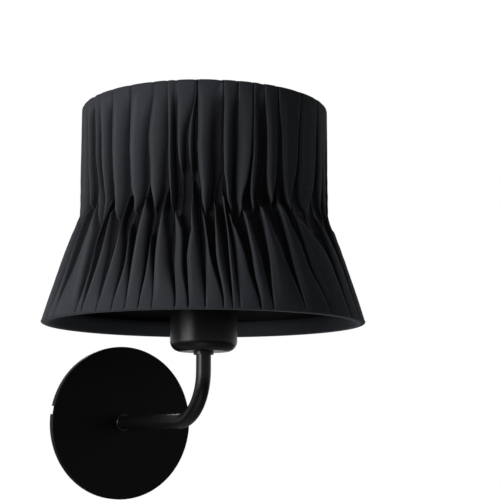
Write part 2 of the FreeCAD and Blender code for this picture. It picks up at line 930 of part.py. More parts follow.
def round_wire(path, diameter):
    """A round wire swept along a path."""
    start = path.Edges[0]
    direction = start.tangentAt(start.FirstParameter)
    section = Part.Wire([Part.makeCircle(diameter / 2, start.valueAt(start.FirstParameter), direction)])
    made = path.makePipeShell([section], True, False)
    length = sum(edge.Length for edge in path.Edges)
    print("wire", round(length, 2), "volume share", round(made.Volume / (section_area(diameter) * length), 4))
    return made


def section_area(diameter):
    return math.pi * diameter * diameter / 4


def shade_fitting():
    """The flat ring that sits on the cup's rim, and three bent wires from it up to the waist ring."""
    bore = thread_radius + own["fitter_gap"]
    rim = cup_radius + own["fitter_overhang"]
    body = ring_of("fitter_ring", bore, rim, cup_top, fitter_top, on_holder_axis)
    round_circles(body, own["fitter_thickness"] / 5, [(rim, cup_top), (rim, fitter_top)])
    middle = (cup_top + own["fitter_thickness"] / 2).value
    start = FreeCAD.Vector((rim + own["bore_gap"]).value, 0, middle)
    corner = start + FreeCAD.Vector(own["arm_run"].value, 0, 0)
    ring = FreeCAD.Vector(waist_ring_radius.value, 0, waist_height.value)
    end = ring - (ring - corner).normalize() * (wire + gap).value
    arm = round_wire(rounded_path([start, corner, end], [own["arm_turn"].value]), own["arm_wire"].value)
    shape_piece("fitter_arms", Part.makeCompound([spin(arm, 90 + 120 * number) for number in range(3)]))


def leads():
    """Live and neutral, from the terminals down inside the tube to the plate's open back."""
    reach = own["arm_reach"].value
    bend = own["arm_bend"].value
    tail = own["arm_tail"].value
    top = (ledge - own["terminal_height"] * 0.4).value
    knee = (dome_low + 4 * own["lead_diameter"]).value
    throat = (dome_low + own["lead_diameter"]).value
    small_turn = 2 * own["lead_diameter"].value
    for label, side in (("live_lead", -1), ("neutral_lead", 1)):
        out = side * (own["terminal_spacing"] / 2 - own["lead_diameter"] / 3).value
        inner = side * own["lead_spacing"].value / 2
        points = [
            FreeCAD.Vector(out, 0, top),
            FreeCAD.Vector(out, 0, knee),
            FreeCAD.Vector(inner, 0, throat),
            FreeCAD.Vector(inner, 0, 0),
            FreeCAD.Vector(inner, reach - tail, 0),
        ]
        path = rounded_path(points, [small_turn, small_turn, bend])
        shape_piece(label, round_wire(path, own["lead_diameter"].value))


# Rows of the gathered cover from hem to top: the place from -1 at the hem over 0 at the waist to 1 at the
# top, then for the lobes that hang from the top and for those that rise from the hem the half width, as a
# share of the room between two upper lobes, and how far the lobe has sunk into the fold, 1 for all the way
COVER_ROWS = (
    (-1.00, 0.04, 1.00, 0.42, 0.00),
    (-0.985, 0.04, 1.00, 0.42, 0.00),
    (-0.68, 0.04, 1.00, 0.39, 0.00),
    (-0.34, 0.04, 1.00, 0.33, 0.00),
    (-0.11, 0.07, 0.75, 0.28, 0.05),
    (0.00, 0.14, 0.15, 0.22, 0.20),
    (0.13, 0.24, 0.00, 0.13, 0.50),
    (0.34, 0.33, 0.00, 0.06, 0.90),
    (0.68, 0.39, 0.00, 0.04, 1.00),
    (0.985, 0.42, 0.00, 0.04, 1.00),
    (1.00, 0.42, 0.00, 0.04, 1.00),
)


def lobe_centres(count):
    """Uneven places of the upper lobes, in pitches."""
    return [number + 0.17 * math.sin(2.4 * number) for number in range(count)]


def cover_row(row):
    """One level of the gathered cover, as a closed outline of straight lines."""
    place, upper_width, upper_sunk, lower_width, lower_sunk = row
    count = int(own["lobe_count"].value)
    if place >= 0:
        height = waist_height.value + place * own["drum_height"].value
        crest = (own["waist_diameter"] * (1 - place) + own["top_diameter"] * place).value / 2
        inside = (lining_waist + gap).value + (lining_high - lining_waist).value * place
    else:
        height = waist_height.value + place * own["flare_height"].value
        crest = (own["waist_diameter"] * (1 + place) - own["bottom_diameter"] * place).value / 2
        crest = crest - 4 * own["flare_bulge"].value * place * (1 + place)
        inside = (lining_waist + gap).value - (lining_low - lining_waist).value * place
    if abs(place) == 1:
        crest = crest - own["hem_rounding"].value
        inside = inside - own["hem_rounding"].value
    valley = inside + cloth.value
    upper = crest + (valley - crest) * upper_sunk
    lower = crest + (valley - crest) * lower_sunk
    centres = lobe_centres(count)
    corners = []
    for number in range(count):
        here = centres[number]
        following = centres[number + 1] if number + 1 < count else centres[0] + count
        room = following - here
        middle = here + room / 2
        before = here - (centres[number - 1] - (count if number == 0 else 0))
        edge = (upper_width + 0.5 - lower_width) / 2
        corners += [
            (here - upper_width * before, upper),
            (here + upper_width * room, upper),
            (here + edge * room, valley),
            (middle - lower_width * room, lower),
            (middle + lower_width * room, lower),
            (following - edge * room, valley),
        ]
    turn = 2 * math.pi / count
    points = [
        FreeCAD.Vector(radius * math.cos(turn * at), radius * math.sin(turn * at), height)
        for at, radius in corners
    ]
    return Part.makePolygon(points + points[:1])


def pleated_cover():
    """The gathered cloth: lobes that hang from the top and lobes that rise from the hem meet at the waist.

    It is the pleated form less the space inside it, which leaves a hem turned in round the top and bottom
    rings.
    """
    folds = Part.makeLoft([cover_row(row) for row in COVER_ROWS], True, True)
    hem = own["hem_width"]
    band = own["lining_wall"] + 2 * gap + own["frame_wire"]
    low_out = (lining_low + gap).value
    waist_out = (lining_waist + gap).value
    high_out = (lining_high + gap).value
    slope = flare_lean.value
    low = shade_low.value
    high = shade_high.value
    floor = (shade_low + cloth).value
    roof = (shade_high - cloth).value
    channel = (band + gap).value * flare_stretch.value
    sheet_width = cloth.value * flare_stretch.value
    hem_top = low + hem.value
    hem_end = high - hem.value
    lean = drum_lean.value
    top_channel = high_out - lean * hem.value - (band + gap).value
    over = hem.value
    corners = [
        (0, low - over),
        (low_out + slope * over - channel - sheet_width, low - over),
        (low_out - slope * hem.value - channel - sheet_width, hem_top),
        (low_out - slope * hem.value - channel, hem_top),
        (low_out - slope * cloth.value - channel, floor),
        (low_out - slope * cloth.value, floor),
        (waist_out, waist_height.value),
        (high_out - lean * cloth.value, roof),
        (top_channel, roof),
        (top_channel, hem_end),
        (top_channel - cloth.value, hem_end),
        (top_channel - cloth.value, high + over),
        (0, high + over),
    ]
    spots = [FreeCAD.Vector(radius, 0, height) for radius, height in corners]
    space = Part.Face(Part.makePolygon(spots + spots[:1]))
    inside = space.revolve(FreeCAD.Vector(0, 0, 0), FreeCAD.Vector(0, 0, 1), 360)
    shape_piece("pleated_cover", folds.cut(inside))


wall_plate()
wall_bracket()
side_screws()
earth_screw()
arm_tube()
base_collar()
base_fixing()
holder_cup()
lampholder_cap()
lampholder_core()
holder_sleeve()
contacts()
leads()
shade_ring()
shade_fitting()
frame_rings()
frame_ribs()
linings()
pleated_cover()
doc.recompute()

for made in doc.Objects:
    if "Invalid" in made.State or "Error" in made.State:
        raise RuntimeError(f"{made.Name} failed: {made.State}")
for label, made in pieces.items():
    if made.Shape.isNull() or not made.Shape.isValid():
        raise RuntimeError(f"{label} has no sound shape")
    made.Shape.exportStep(f"parts/{label}.step")
    print(label, len(made.Shape.Solids), "solid(s),", round(made.Shape.Volume), "cubic mm")
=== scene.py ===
# %% [markdown]
# # A black wall light with a gathered fabric shade
#
# The lamp is a round wall plate, a tube that comes out of it and bends up, a cup with the
# lampholder in it, and a fabric shade that is a drum above and flares below its waist. The metal
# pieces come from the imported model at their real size. Here they get their finishes, and the soft
# or finely threaded pieces are modelled anew, each in the place of the plain solid that it stands
# for.

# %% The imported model
import json
import math

import bpy
import numpy as np
from mathutils import Matrix, Vector


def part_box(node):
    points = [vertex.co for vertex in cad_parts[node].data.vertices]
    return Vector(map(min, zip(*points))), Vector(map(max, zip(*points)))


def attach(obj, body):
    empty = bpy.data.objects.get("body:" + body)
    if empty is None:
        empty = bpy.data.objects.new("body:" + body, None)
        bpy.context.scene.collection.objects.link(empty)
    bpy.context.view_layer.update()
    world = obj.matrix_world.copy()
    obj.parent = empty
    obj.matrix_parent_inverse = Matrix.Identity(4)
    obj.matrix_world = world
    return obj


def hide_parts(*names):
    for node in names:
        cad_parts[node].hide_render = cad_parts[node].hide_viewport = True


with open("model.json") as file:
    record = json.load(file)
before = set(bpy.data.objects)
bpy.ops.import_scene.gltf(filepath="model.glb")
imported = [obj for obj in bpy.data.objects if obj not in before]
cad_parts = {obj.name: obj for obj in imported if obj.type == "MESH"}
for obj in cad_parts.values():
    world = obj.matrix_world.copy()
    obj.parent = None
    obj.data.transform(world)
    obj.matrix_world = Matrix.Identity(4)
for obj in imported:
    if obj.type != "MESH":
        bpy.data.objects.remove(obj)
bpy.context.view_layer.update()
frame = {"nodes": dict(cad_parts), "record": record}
nodes = frame["nodes"]
MM = 0.001
print("pieces in the model:", len(nodes))

# %% [markdown]
# ## Where the photographer stood
#
# The camera stands low, to the left of the lamp, and looks slightly up into the shade. Its place
# was found by fitting the plate, the cup and the shade's rims to their outlines. A lens of 90 mm on
# a 36 mm sensor sees the whole lamp from 0.9 m away.

# %% The camera
EYE = Vector((-407.5, -846.2, -10.2)) * MM
TURNED_RIGHT = math.radians(31.62)
TILTED_UP = math.radians(8.53)
SENSOR = 36.0
LENS = 89.5

bpy.ops.object.select_all(action="DESELECT")
bpy.ops.object.camera_add(location=EYE, rotation=(math.radians(90) + TILTED_UP, 0, -TURNED_RIGHT))
camera = bpy.context.object
camera.data.sensor_width = SENSOR
camera.data.lens = LENS
camera.data.clip_start = 10 * MM
bpy.context.scene.camera = camera
bpy.context.scene.view_settings.view_transform = "Standard"

# %% [markdown]
# ## Shader arithmetic
#
# A finish is a few nodes and some arithmetic between them. A small class wraps a socket, so that
# the arithmetic is written as Python and turns into Math nodes. Every other node comes from one
# method, which takes its kind, its settings and what goes into its sockets.


# %% A socket that can be calculated with
class Wire:
    """One output of a node. Sums of wires and numbers become Math nodes."""

    def __init__(self, net, socket):
        self.net = net
        self.socket = socket

    def maths(self, operation, first, second):
        return self.net.add("ShaderNodeMath", {"operation": operation}, {0: first, 1: second})

    def __add__(self, other):
        return self.maths("ADD", self, other)

    def __sub__(self, other):
        return self.maths("SUBTRACT", self, other)

    def __rsub__(self, other):
        return self.maths("SUBTRACT", other, self)

    def __mul__(self, other):
        return self.maths("MULTIPLY", self, other)

    __radd__ = __add__
    __rmul__ = __mul__


# %% The nodes of a material
def grey(value):
    return (value, value, value, 1.0)


class Net:
    """The nodes of one material or of the world."""

    def __init__(self, tree):
        self.tree = tree
        self.tree.nodes.clear()

    def node(self, kind, settings=None, inputs=None):
        """Adds a node, sets it up, and then fills or links its inputs."""
        node = self.tree.nodes.new(kind)
        for name, value in (settings or {}).items():
            setattr(node, name, value)
        for name, value in (inputs or {}).items():
            self.feed(node.inputs[name], value)
        return node

    def add(self, kind, settings=None, inputs=None, output=0):
        """The same, for the sake of one of the node's outputs."""
        return Wire(self, self.node(kind, settings, inputs).outputs[output])

    def feed(self, socket, value):
        if isinstance(value, Wire):
            self.tree.links.new(value.socket, socket)
        else:
            socket.default_value = value

    def mix(self, share, first, second):
        """A colour between two colours."""
        settings = {"data_type": "RGBA"}
        return self.add("ShaderNodeMix", settings, {0: share, 6: first, 7: second}, output=2)

    def noise(self, place, grain, detail=3.0, roughness=0.5):
        """Soft noise whose blotches are about `grain` metres across."""
        inputs = {"Vector": place, "Scale": 1 / grain, "Detail": detail, "Roughness": roughness}
        return self.add("ShaderNodeTexNoise", None, inputs)

    def spread(self, value, low, high, to_low, to_high):
        """Stretches a range of values to another one, and holds them at its ends."""
        inputs = {0: value, 1: low, 2: high, 3: to_low, 4: to_high}
        return self.add("ShaderNodeMapRange", {"clamp": True}, inputs)

    def vary(self, noise, low, high):
        """A value that follows a noise from low to high. Noise seldom leaves 0.3 to 0.7."""
        return self.spread(noise, 0.3, 0.7, low, high)

    def larger(self, first, second):
        return self.add("ShaderNodeMath", {"operation": "MAXIMUM"}, {0: first, 1: second})

    def off(self, value):
        """How far a value is from nought."""
        return self.add("ShaderNodeMath", {"operation": "ABSOLUTE"}, {0: value})

    def sine(self, angle):
        return self.add("ShaderNodeMath", {"operation": "SINE"}, {0: angle})

    def bump(self, height, depth):
        """Normals from a height of 0 to 1 that stands for `depth` metres."""
        inputs = {"Strength": 1.0, "Distance": depth, "Height": height}
        return self.add("ShaderNodeBump", None, inputs)


class Finish(Net):
    """A material with one principled shader."""

    def __init__(self, name, **fixed):
        self.material = bpy.data.materials.new(name)
        self.material.use_nodes = True
        super().__init__(self.material.node_tree)
        self.shader = self.node("ShaderNodeBsdfPrincipled")
        self.out = self.node("ShaderNodeOutputMaterial", None, {0: self.lit()})
        for socket, value in fixed.items():
            self.set(socket.replace("_", " "), value)

    def set(self, socket, value):
        self.feed(self.shader.inputs[socket], value)

    def lit(self):
        return Wire(self, self.shader.outputs[0])

    def place(self):
        """Object coordinates: metres in the lamp's own frame."""
        return self.add("ShaderNodeTexCoord", output=3)


# %% [markdown]
# ## The studio
#
# The photograph is a cut-out on pure white. Its main light is a soft box on the left, almost along
# the wall, so that the plate stays dark and the left sides of cup, tube and folds shine. A second
# box, a little behind the wall's plane, draws their outer edges. A pale card below lifts the
# underside, and weak lights on the right and behind keep the far sides from going black. The white
# comes from the world as the camera and reflections see it. The light that the world sheds on the
# lamp is a much weaker, even one.

# %% The world
AMBIENT = 0.095
CAMERA_RAY, GLOSSY_RAY, TRANSMISSION_RAY = 0, 3, 6


def make_world():
    world = bpy.data.worlds.new("studio")
    world.use_nodes = True
    bpy.context.scene.world = world
    net = Net(world.node_tree)
    by_camera = net.add("ShaderNodeLightPath", output=CAMERA_RAY)
    by_gloss = net.add("ShaderNodeLightPath", output=GLOSSY_RAY)
    by_glass = net.add("ShaderNodeLightPath", output=TRANSMISSION_RAY)
    seen = net.larger(by_camera, net.larger(by_gloss, by_glass))
    even = net.add("ShaderNodeBackground", None, {"Color": grey(1.0), "Strength": AMBIENT})
    white = net.add("ShaderNodeBackground", None, {"Color": grey(1.0), "Strength": 1.0})
    both = net.add("ShaderNodeMixShader", None, {0: seen, 1: even, 2: white})
    net.node("ShaderNodeOutputWorld", None, {0: both})


make_world()

# %% The lights: name, place and size in metres, watts
AIM = Vector((0, -0.11, 0.11))
LIGHTS = (
    ("soft_box_left", (-1.43, -0.39, 0.19), (0.50, 0.60), 19.5),
    ("weak_fill_right", (0.9, -1.5, 0.9), (1.2, 1.2), 0.3),
    ("light_behind", (0.75, 1.5, 0.7), (0.8, 0.8), 11.0),
    ("edge_light_left", (-1.42, 0.10, 0.10), (0.45, 0.55), 8.2),
    ("card_below", (-0.55, -0.75, -1.1), (0.8, 0.8), 2.4),
)


def make_light(name, place, size, watts):
    """A flat soft box that faces the lamp."""
    bpy.ops.object.light_add(type="AREA", location=place)
    light = bpy.context.object
    light.name = name
    light.data.shape = "RECTANGLE"
    light.data.size, light.data.size_y = size
    light.data.energy = watts
    light.rotation_euler = (AIM - Vector(place)).to_track_quat("-Z", "Y").to_euler()


for light in LIGHTS:
    make_light(*light)
print("lights:", len(LIGHTS))

# %% The floor, which glows for the camera so that it stays pale
FLOOR_HEIGHT = -1.3
FLOOR_RADIUS = 7.0
FLOOR_GLOW = 0.72


def make_floor():
    bpy.ops.object.select_all(action="DESELECT")
    bpy.ops.mesh.primitive_circle_add(
        vertices=96, radius=FLOOR_RADIUS, fill_type="NGON", location=(0, AIM.y, FLOOR_HEIGHT)
    )
    floor = bpy.context.object
    floor.name = "floor"
    pale = Finish("pale_floor", Roughness=0.9)
    blotches = pale.noise(pale.place(), 0.3)
    pale.set("Base Color", pale.mix(blotches, grey(0.80), grey(0.84)))
    glow = pale.add("ShaderNodeEmission", None, {"Color": grey(0.93), "Strength": 1.0})
    seen = pale.add("ShaderNodeLightPath", output=CAMERA_RAY) * FLOOR_GLOW
    both = pale.add("ShaderNodeMixShader", None, {0: seen, 1: pale.lit(), 2: glow})
    pale.feed(pale.out.inputs[0], both)
    floor.data.materials.append(pale.material)


make_floor()

# %% [markdown]
# ## Powder coat
#
# The lamp's own metal is powder coated: black, satin, with the fine orange peel that such paint
# dries with, and a few specks of dust. Noise at three grains gives them: a broad one for the colour
# and the gloss, a fine one for the peel and the finest for the dust. The wall plate gets a copy of
# the coat with less shine and more roughness, a painted shade, because the photograph shows it
# almost without shine; the real plate has the same coat as tube and cup.


# %% Powder coat
def powder_coat(name, shine, smooth, rough):
    """Black paint, from smooth to rough as its cloud goes, with specks of dust on it."""
    made = Finish(name, Metallic=0.0)
    made.set("Specular IOR Level", shine)
    place = made.place()
    cloud = made.noise(place, 9 * MM)
    peel = made.noise(place, 0.7 * MM, detail=1.5)
    dust = made.spread(made.noise(place, 0.25 * MM, detail=1.0), 0.66, 0.74, 0.0, 1.0)
    tone = made.mix(cloud, (0.0015, 0.0015, 0.0016, 1), (0.0030, 0.0030, 0.0030, 1))
    made.set("Base Color", made.mix(dust * 0.5, tone, grey(0.014)))
    made.set("Roughness", made.vary(cloud, smooth, rough))
    made.set("Normal", made.bump(peel, 0.012 * MM))
    return made.material


# %% [markdown]
# ## Zinc, brass, plastic and ceramic
#
# Behind the plate and in the cup lie plain zinc plated and brass pieces, a moulded black lampholder
# and its glazed insulator. Colour and roughness wander with noise at the grain of the real surface:
# spangle on zinc, tarnish on brass, flow marks in plastic, and specks under the glaze.


# %% Zinc, brass, plastic and ceramic
def zinc_plate():
    made = Finish("zinc_plated_steel", Metallic=1.0)
    place = made.place()
    spangle = made.noise(place, 4 * MM, detail=4.0)
    scuffs = made.noise(place, 0.5 * MM, detail=2.0)
    made.set("Base Color", made.mix(spangle, (0.50, 0.51, 0.54, 1), (0.66, 0.66, 0.64, 1)))
    made.set("Roughness", made.vary(scuffs, 0.26, 0.44))
    made.set("Normal", made.bump(scuffs, 0.006 * MM))
    return made.material


def brass():
    made = Finish("brass", Metallic=1.0)
    place = made.place()
    tarnish = made.noise(place, 5 * MM, detail=4.0)
    made.set("Base Color", made.mix(tarnish, (0.78, 0.57, 0.26, 1), (0.50, 0.35, 0.16, 1)))
    made.set("Roughness", made.vary(tarnish, 0.20, 0.42))
    made.set("Normal", made.bump(made.noise(place, 0.4 * MM), 0.004 * MM))
    return made.material


def moulded_plastic():
    made = Finish("black_moulded_plastic")
    made.set("Specular IOR Level", 0.35)
    place = made.place()
    flow = made.noise(place, 6 * MM)
    grain = made.noise(place, 0.35 * MM)
    made.set("Base Color", made.mix(flow, grey(0.012), grey(0.020)))
    made.set("Roughness", made.vary(flow, 0.34, 0.46))
    made.set("Normal", made.bump(grain, 0.008 * MM))
    return made.material


def ceramic():
    made = Finish("glazed_ceramic", Roughness=0.3)
    made.set("Coat Roughness", 0.08)
    place = made.place()
    speck = made.spread(made.noise(place, 0.6 * MM), 0.68, 0.75, 0.0, 1.0)
    made.set("Base Color", made.mix(speck, (0.80, 0.78, 0.73, 1), (0.45, 0.40, 0.33, 1)))
    made.set("Coat Weight", made.spread(made.noise(place, 3 * MM), 0.2, 0.5, 0.3, 0.8))
    made.set("Normal", made.bump(made.noise(place, 1.2 * MM), 0.02 * MM))
    return made.material


# %% [markdown]
# ## Wire, leads and lining
#
# The shade's frame is wire with a dipped black coating that runs a little. The two leads in the
# tube have smooth covers, brown and blue. The lining is a stiff sheet faced with cloth, so it is
# dull and slightly uneven.


# %% Wire, leads and lining
def coated_wire():
    made = Finish("black_coated_wire")
    made.set("Specular IOR Level", 0.3)
    place = made.place()
    runs = made.noise(place, 2.5 * MM)
    made.set("Base Color", made.mix(runs, grey(0.010), grey(0.018)))
    made.set("Roughness", made.vary(runs, 0.30, 0.45))
    made.set("Normal", made.bump(runs, 0.05 * MM))
    return made.material


def lead_cover(name, dark, light):
    made = Finish(name)
    place = made.place()
    smear = made.noise(place, 3 * MM)
    made.set("Base Color", made.mix(smear, dark, light))
    made.set("Roughness", made.vary(smear, 0.38, 0.52))
    made.set("Normal", made.bump(made.noise(place, 0.5 * MM), 0.01 * MM))
    return made.material


def lining_sheet():
    made = Finish("cloth_faced_lining", Roughness=0.8)
    made.set("Specular IOR Level", 0.05)
    place = made.place()
    slub = made.noise(place, 1.2 * MM, detail=4.0)
    cloud = made.noise(place, 25 * MM)
    tone = made.mix(cloud, (0.012, 0.012, 0.013, 1), (0.018, 0.018, 0.019, 1))
    made.set("Base Color", made.mix(slub * 0.6, tone, grey(0.008)))
    made.set("Normal", made.bump(slub, 0.08 * MM))
    return made.material


# %% Every node gets the finish of its slot
FINISHES = {
    "black_metal": powder_coat("black_powder_coat", shine=0.145, smooth=0.28, rough=0.34),
    "zinc_steel": zinc_plate(),
    "brass": brass(),
    "black_plastic": moulded_plastic(),
    "white_ceramic": ceramic(),
    "frame_wire": coated_wire(),
    "lining": lining_sheet(),
    "brown_lead": lead_cover("brown_lead_cover", (0.12, 0.045, 0.015, 1), (0.18, 0.07, 0.025, 1)),
    "blue_lead": lead_cover("blue_lead_cover", (0.02, 0.07, 0.26, 1), (0.035, 0.11, 0.36, 1)),
}
slot_of = {row["node"]: row["material_slot"] for row in frame["record"]["subparts"]}
for name, node in nodes.items():
    if slot_of[name] in FINISHES:
        node.data.materials.clear()
        node.data.materials.append(FINISHES[slot_of[name]])
# Painted shade: the wall plate gets a duller copy of the same coat, so that it stays darker than
# the cup.
shaded_plate_coat = powder_coat("black_powder_coat_painted_shade", shine=0.045, smooth=0.40, rough=0.48)
plate = nodes["wall_plate"]
plate.data.materials.clear()
plate.data.materials.append(shaded_plate_coat)
print("finishes:", sorted(FINISHES))

# %% [markdown]
# ## The gathered cover
#
# The shade is one strip of cotton with its two long edges turned in round the rings. A tie round
# the waist pulls it in. Above the waist it hangs in wide tongues that lie side by side, and below
# it pointed pleats rise between those tongues and fan out to the hem. A cloth simulation would
# gather it somewhere else each time a number changes, and these folds are sewn in place. So the
# strip starts as its flat cut, a plain grid, and each of its points is carried to its place in the
# folds. The weave, which is drawn on the flat cut, follows every fold.

# %% Measures of the shade, from the frame
cover_low, cover_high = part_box("pleated_cover")
waist_ring_low, waist_ring_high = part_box("waist_ring")
AXIS = Vector((0, (cover_low.y + cover_high.y) / 2, 0))


def half_width(node):
    low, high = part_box(node)
    return (high.x - low.x) / 2


LINING_WALL = 0.5 * MM
PLAY = 0.15 * MM
RING_WIRE = waist_ring_high.z - waist_ring_low.z
hem_height = cover_low.z
top_height = cover_high.z
waist_height = (waist_ring_low.z + waist_ring_high.z) / 2
drum_height = top_height - waist_height
flare_height = waist_height - hem_height
lining_waist = half_width("waist_ring") + PLAY + LINING_WALL
lining_hem = half_width("lower_lining")
lining_top = half_width("upper_lining")
flare_slope = (lining_hem - lining_waist) / flare_height
print("shade", round(hem_height, 4), round(waist_height, 4), round(top_height, 4))

# %% [markdown]
# ## Where the folds lie
#
# The folds that the camera sees are placed one by one. Each row of the table is one fold: a
# pleat of the flare, and the tongue of the drum on its right. Turns go from left to right, in
# degrees from the side that faces the camera, and heights are in mm over the waist. A height of 90
# or -90 stands for a pleat or tongue that never opens.
#
# Pleat: turn and height of its tip, turn of its left edge half-way down and at the hem, gap on its
# right, and 1 where its ridge runs along the right edge instead of the left.
#
# Tongue: turn of its left edge at the top rim, half-way and at the waist, gap on its right, how far
# up that gap stays open, turn and height of its bottom, and 1 for a ridge along the right edge.
#
# The folds on the other side are made by the same rules, with seeded chance.

# %% The folds that the camera sees
SEEN = (
    ((-62.5, 0, -65.6, -67.6, 3.6, 1), (-68, -65.5, -65, 3.6, 1.1, -61.5, -1, 0)),
    ((-54, 7, -58.2, -60.6, 3.0, 1), (-59, -58, -55.5, 2.2, 0.8, -47.5, -17, 0)),
    ((-46.3, -90, -46.3, -46.8, 0, 0), (-54, -52.5, -49.5, 1.4, 0.4, -46, -19, 0)),
    ((-44, 3, -46.3, -46.8, 2.9, 1), (-45, -45, -43.8, 0, 1.0, -43.8, 90, 0)),
    ((-42.8, -5, -41.9, -43.6, 3.4, 0), (-45, -45, -43.8, 1.6, 0.6, -38, -14, 0)),
    ((-33.8, 4, -35.3, -36.7, 2.6, 0), (-34, -34.5, -34.3, 0, 1.0, -34.3, 90, 0)),
    ((-30.5, -17, -29, -30.7, 1.5, 0), (-34, -34.5, -34.3, 1.2, 0.55, -29.4, -12, 0)),
    ((-24.2, 11, -26.2, -25.8, 1.4, 0), (-22.5, -25.3, -24, 0, 1.0, -24, 90, 0)),
    ((-20.3, -24, -20.2, -21.1, 0.9, 0), (-22.5, -25.3, -24, 1.6, 0.55, -20.6, -11.5, 0)),
    ((-16, 4, -17.6, -16.5, 2.2, 0), (-16, -15.6, -15.2, 1.4, 1.15, -12.9, -10.5, 0)),
    ((-12.4, -10, -10.6, -8.9, 1.3, 1), (-12, -11.8, -11.4, 1.2, 0.8, -9.6, 14, 0)),
    ((-5, -90, -6.4, -4.9, 0, 0), (-3.6, -7, -6, 1.2, 0.9, -5.5, 14, 0)),
    ((-5, 11, -6.4, -4.9, 1.9, 0), (-3.3, -3.1, -2.2, 0, 1.0, -2.2, 90, 0)),
    ((-1.2, -10.5, 0.7, 0.7, 2.2, 1), (-3.3, -3.1, -2.2, 3.2, 1.1, 0.8, -12.5, 0)),
    ((4.2, -4.5, 4.2, 6.5, 1.8, 0), (7.7, 7.4, 8.4, 0, 1.0, 8.4, 90, 0)),
    ((7.9, 1, 8.8, 9.3, 0.9, 0), (7.7, 7.4, 8.4, 0, 1.0, 8.4, 90, 0)),
    ((9.6, -10, 11.4, 11.7, 2.4, 1), (7.7, 7.4, 8.4, 1.3, 1.0, 11.8, -12.3, 0)),
    ((16.4, -90, 17.2, 18.5, 0, 0), (14.6, 14.6, 13.8, 0.5, 0.65, 14.6, -12.8, 1)),
    ((15.8, -8, 17.2, 18.5, 3.4, 0), (21.6, 21.3, 20, 4.0, 1.1, 21, -10, 0)),
    ((24, -4.5, 24.3, 23.1, 2.6, 0), (27, 28.3, 27.8, 1.2, 0.2, 31, -3, 0)),
    ((33.5, -3, 34, 35.2, 1.6, 0), (34.2, 36, 37, 0.8, 0.2, 40.5, -6, 0)),
    ((41, -10, 42.2, 46.4, 1.6, 0), (47.8, 46.5, 44.3, 0.8, 0.9, 50, -9, 0)),
    ((56, -8, 58.2, 58.9, 1.0, 0), (62, 62, 61, 0.8, 0.2, 65, -8, 0)),
)

# %% The folds of the other side: chances in degrees, mm, or shares of a fold's width
HIDDEN = 21
CAMERA_SIDE = math.radians(-119.5)
SEED = 11
UNEVEN = (0.6, 1.4)
TIP_FROM_LEFT = (0.1, 0.3)
TIP_UP = (-9, 9)
HEM_SHIFT = (-0.8, 0.8)
GAP_WIDTH = (0.8, 2.2)
BOTTOM_FROM_LEFT = (0.35, 0.55)
BOTTOM_UP = (-16, -8)
TOP_SHIFT = (-1, 1)
SLIT_UP_TO = (0.3, 1.1)
rng = np.random.default_rng(SEED)


def unseen_rows():
    """Uneven pleats and tongues for the side that the camera doesn't see."""
    steps = np.cumsum(rng.uniform(*UNEVEN, HIDDEN + 1))
    first = SEEN[-1][1][1]
    span = SEEN[0][1][1] + 360 - first
    rows = []
    for index in range(HIDDEN):
        turn = first + span * steps[index] / steps[-1]
        wide = span * (steps[index + 1] - steps[index]) / steps[-1]
        left = turn - wide * rng.uniform(*TIP_FROM_LEFT)
        tip = (turn, rng.uniform(*TIP_UP))
        pleat = (*tip, left, left + rng.uniform(*HEM_SHIFT), rng.uniform(*GAP_WIDTH), 0)
        bottom = (turn + wide * rng.uniform(*BOTTOM_FROM_LEFT), rng.uniform(*BOTTOM_UP))
        line = (turn + rng.uniform(*TOP_SHIFT), turn, turn)
        tongue = (*line, rng.uniform(*GAP_WIDTH), rng.uniform(*SLIT_UP_TO), *bottom, 0)
        rows.append((pleat, tongue))
    return rows


all_rows = list(SEEN) + unseen_rows()
FOLDS = len(all_rows)
pleat_table = np.array([row[0] for row in all_rows]).T
tongue_table = np.array([row[1] for row in all_rows]).T
pleat_tip, pleat_up, pleat_half, pleat_hem, pleat_gap, pleat_ridge = pleat_table
tongue_top, tongue_half, tongue_low, tongue_gap, open_to = tongue_table[:5]
bottom_turn, bottom_up, tongue_ridge = tongue_table[5:]
fold_top = pleat_up * MM / drum_height
tongue_end = bottom_up * MM / drum_height
print("folds round the shade:", FOLDS)

# %% [markdown]
# ## What sets one fold apart from the next
#
# No two gathers stand out alike, so each gets its own small lift and roundness, and a short tongue,
# which ends above the waist, lies lower. On the right, where the strip lies smooth, the folds are
# pressed nearly flat. On the left the camera looks along the cloth and into its slits. There the
# backs of the folds roll away sooner and the slits get more painted shade, because a slit that is
# hidden behind the next ridge leaves the shade looking plain.

# %% Lift, roundness and depth of each fold
SMOOTH_FROM, SMOOTH_TO = 30, 75
SMOOTH_SHARE = 0.3
SEEN_INTO_UP_TO = -30
SHORT_LIES_LOWER = 5 * MM
SHORTEST = 0.4
smooth_side = (pleat_half > SMOOTH_FROM) & (pleat_half < SMOOTH_TO)
calm = np.where(smooth_side, SMOOTH_SHARE, 1.0)
seen_into = pleat_half < SEEN_INTO_UP_TO
fold_lift = rng.uniform(-0.6, 0.5, FOLDS) * MM
tongue_lift = rng.uniform(-0.5, 0.6, FOLDS) * MM
tongue_lift -= np.clip(tongue_end, 0, SHORTEST) * SHORT_LIES_LOWER
round_off = rng.uniform(0.75, 1.15, FOLDS)
print("pressed flat:", int(smooth_side.sum()), "seen into:", int(seen_into.sum()))

# %% [markdown]
# ## The strip's way from hem to top
#
# Seen from the side, the strip comes up inside the bottom ring, rolls round it, climbs the flare to
# the waist and the drum to the top ring, rolls over that, and ends inside. Each row of points on
# this way gets a place from -1 at the hem over 0 at the waist to 1 at the top, the radius of the
# seat that the valleys may go down to, the radius of the crests, and a height. Rows lie closest
# near the waist, where the folds turn most.

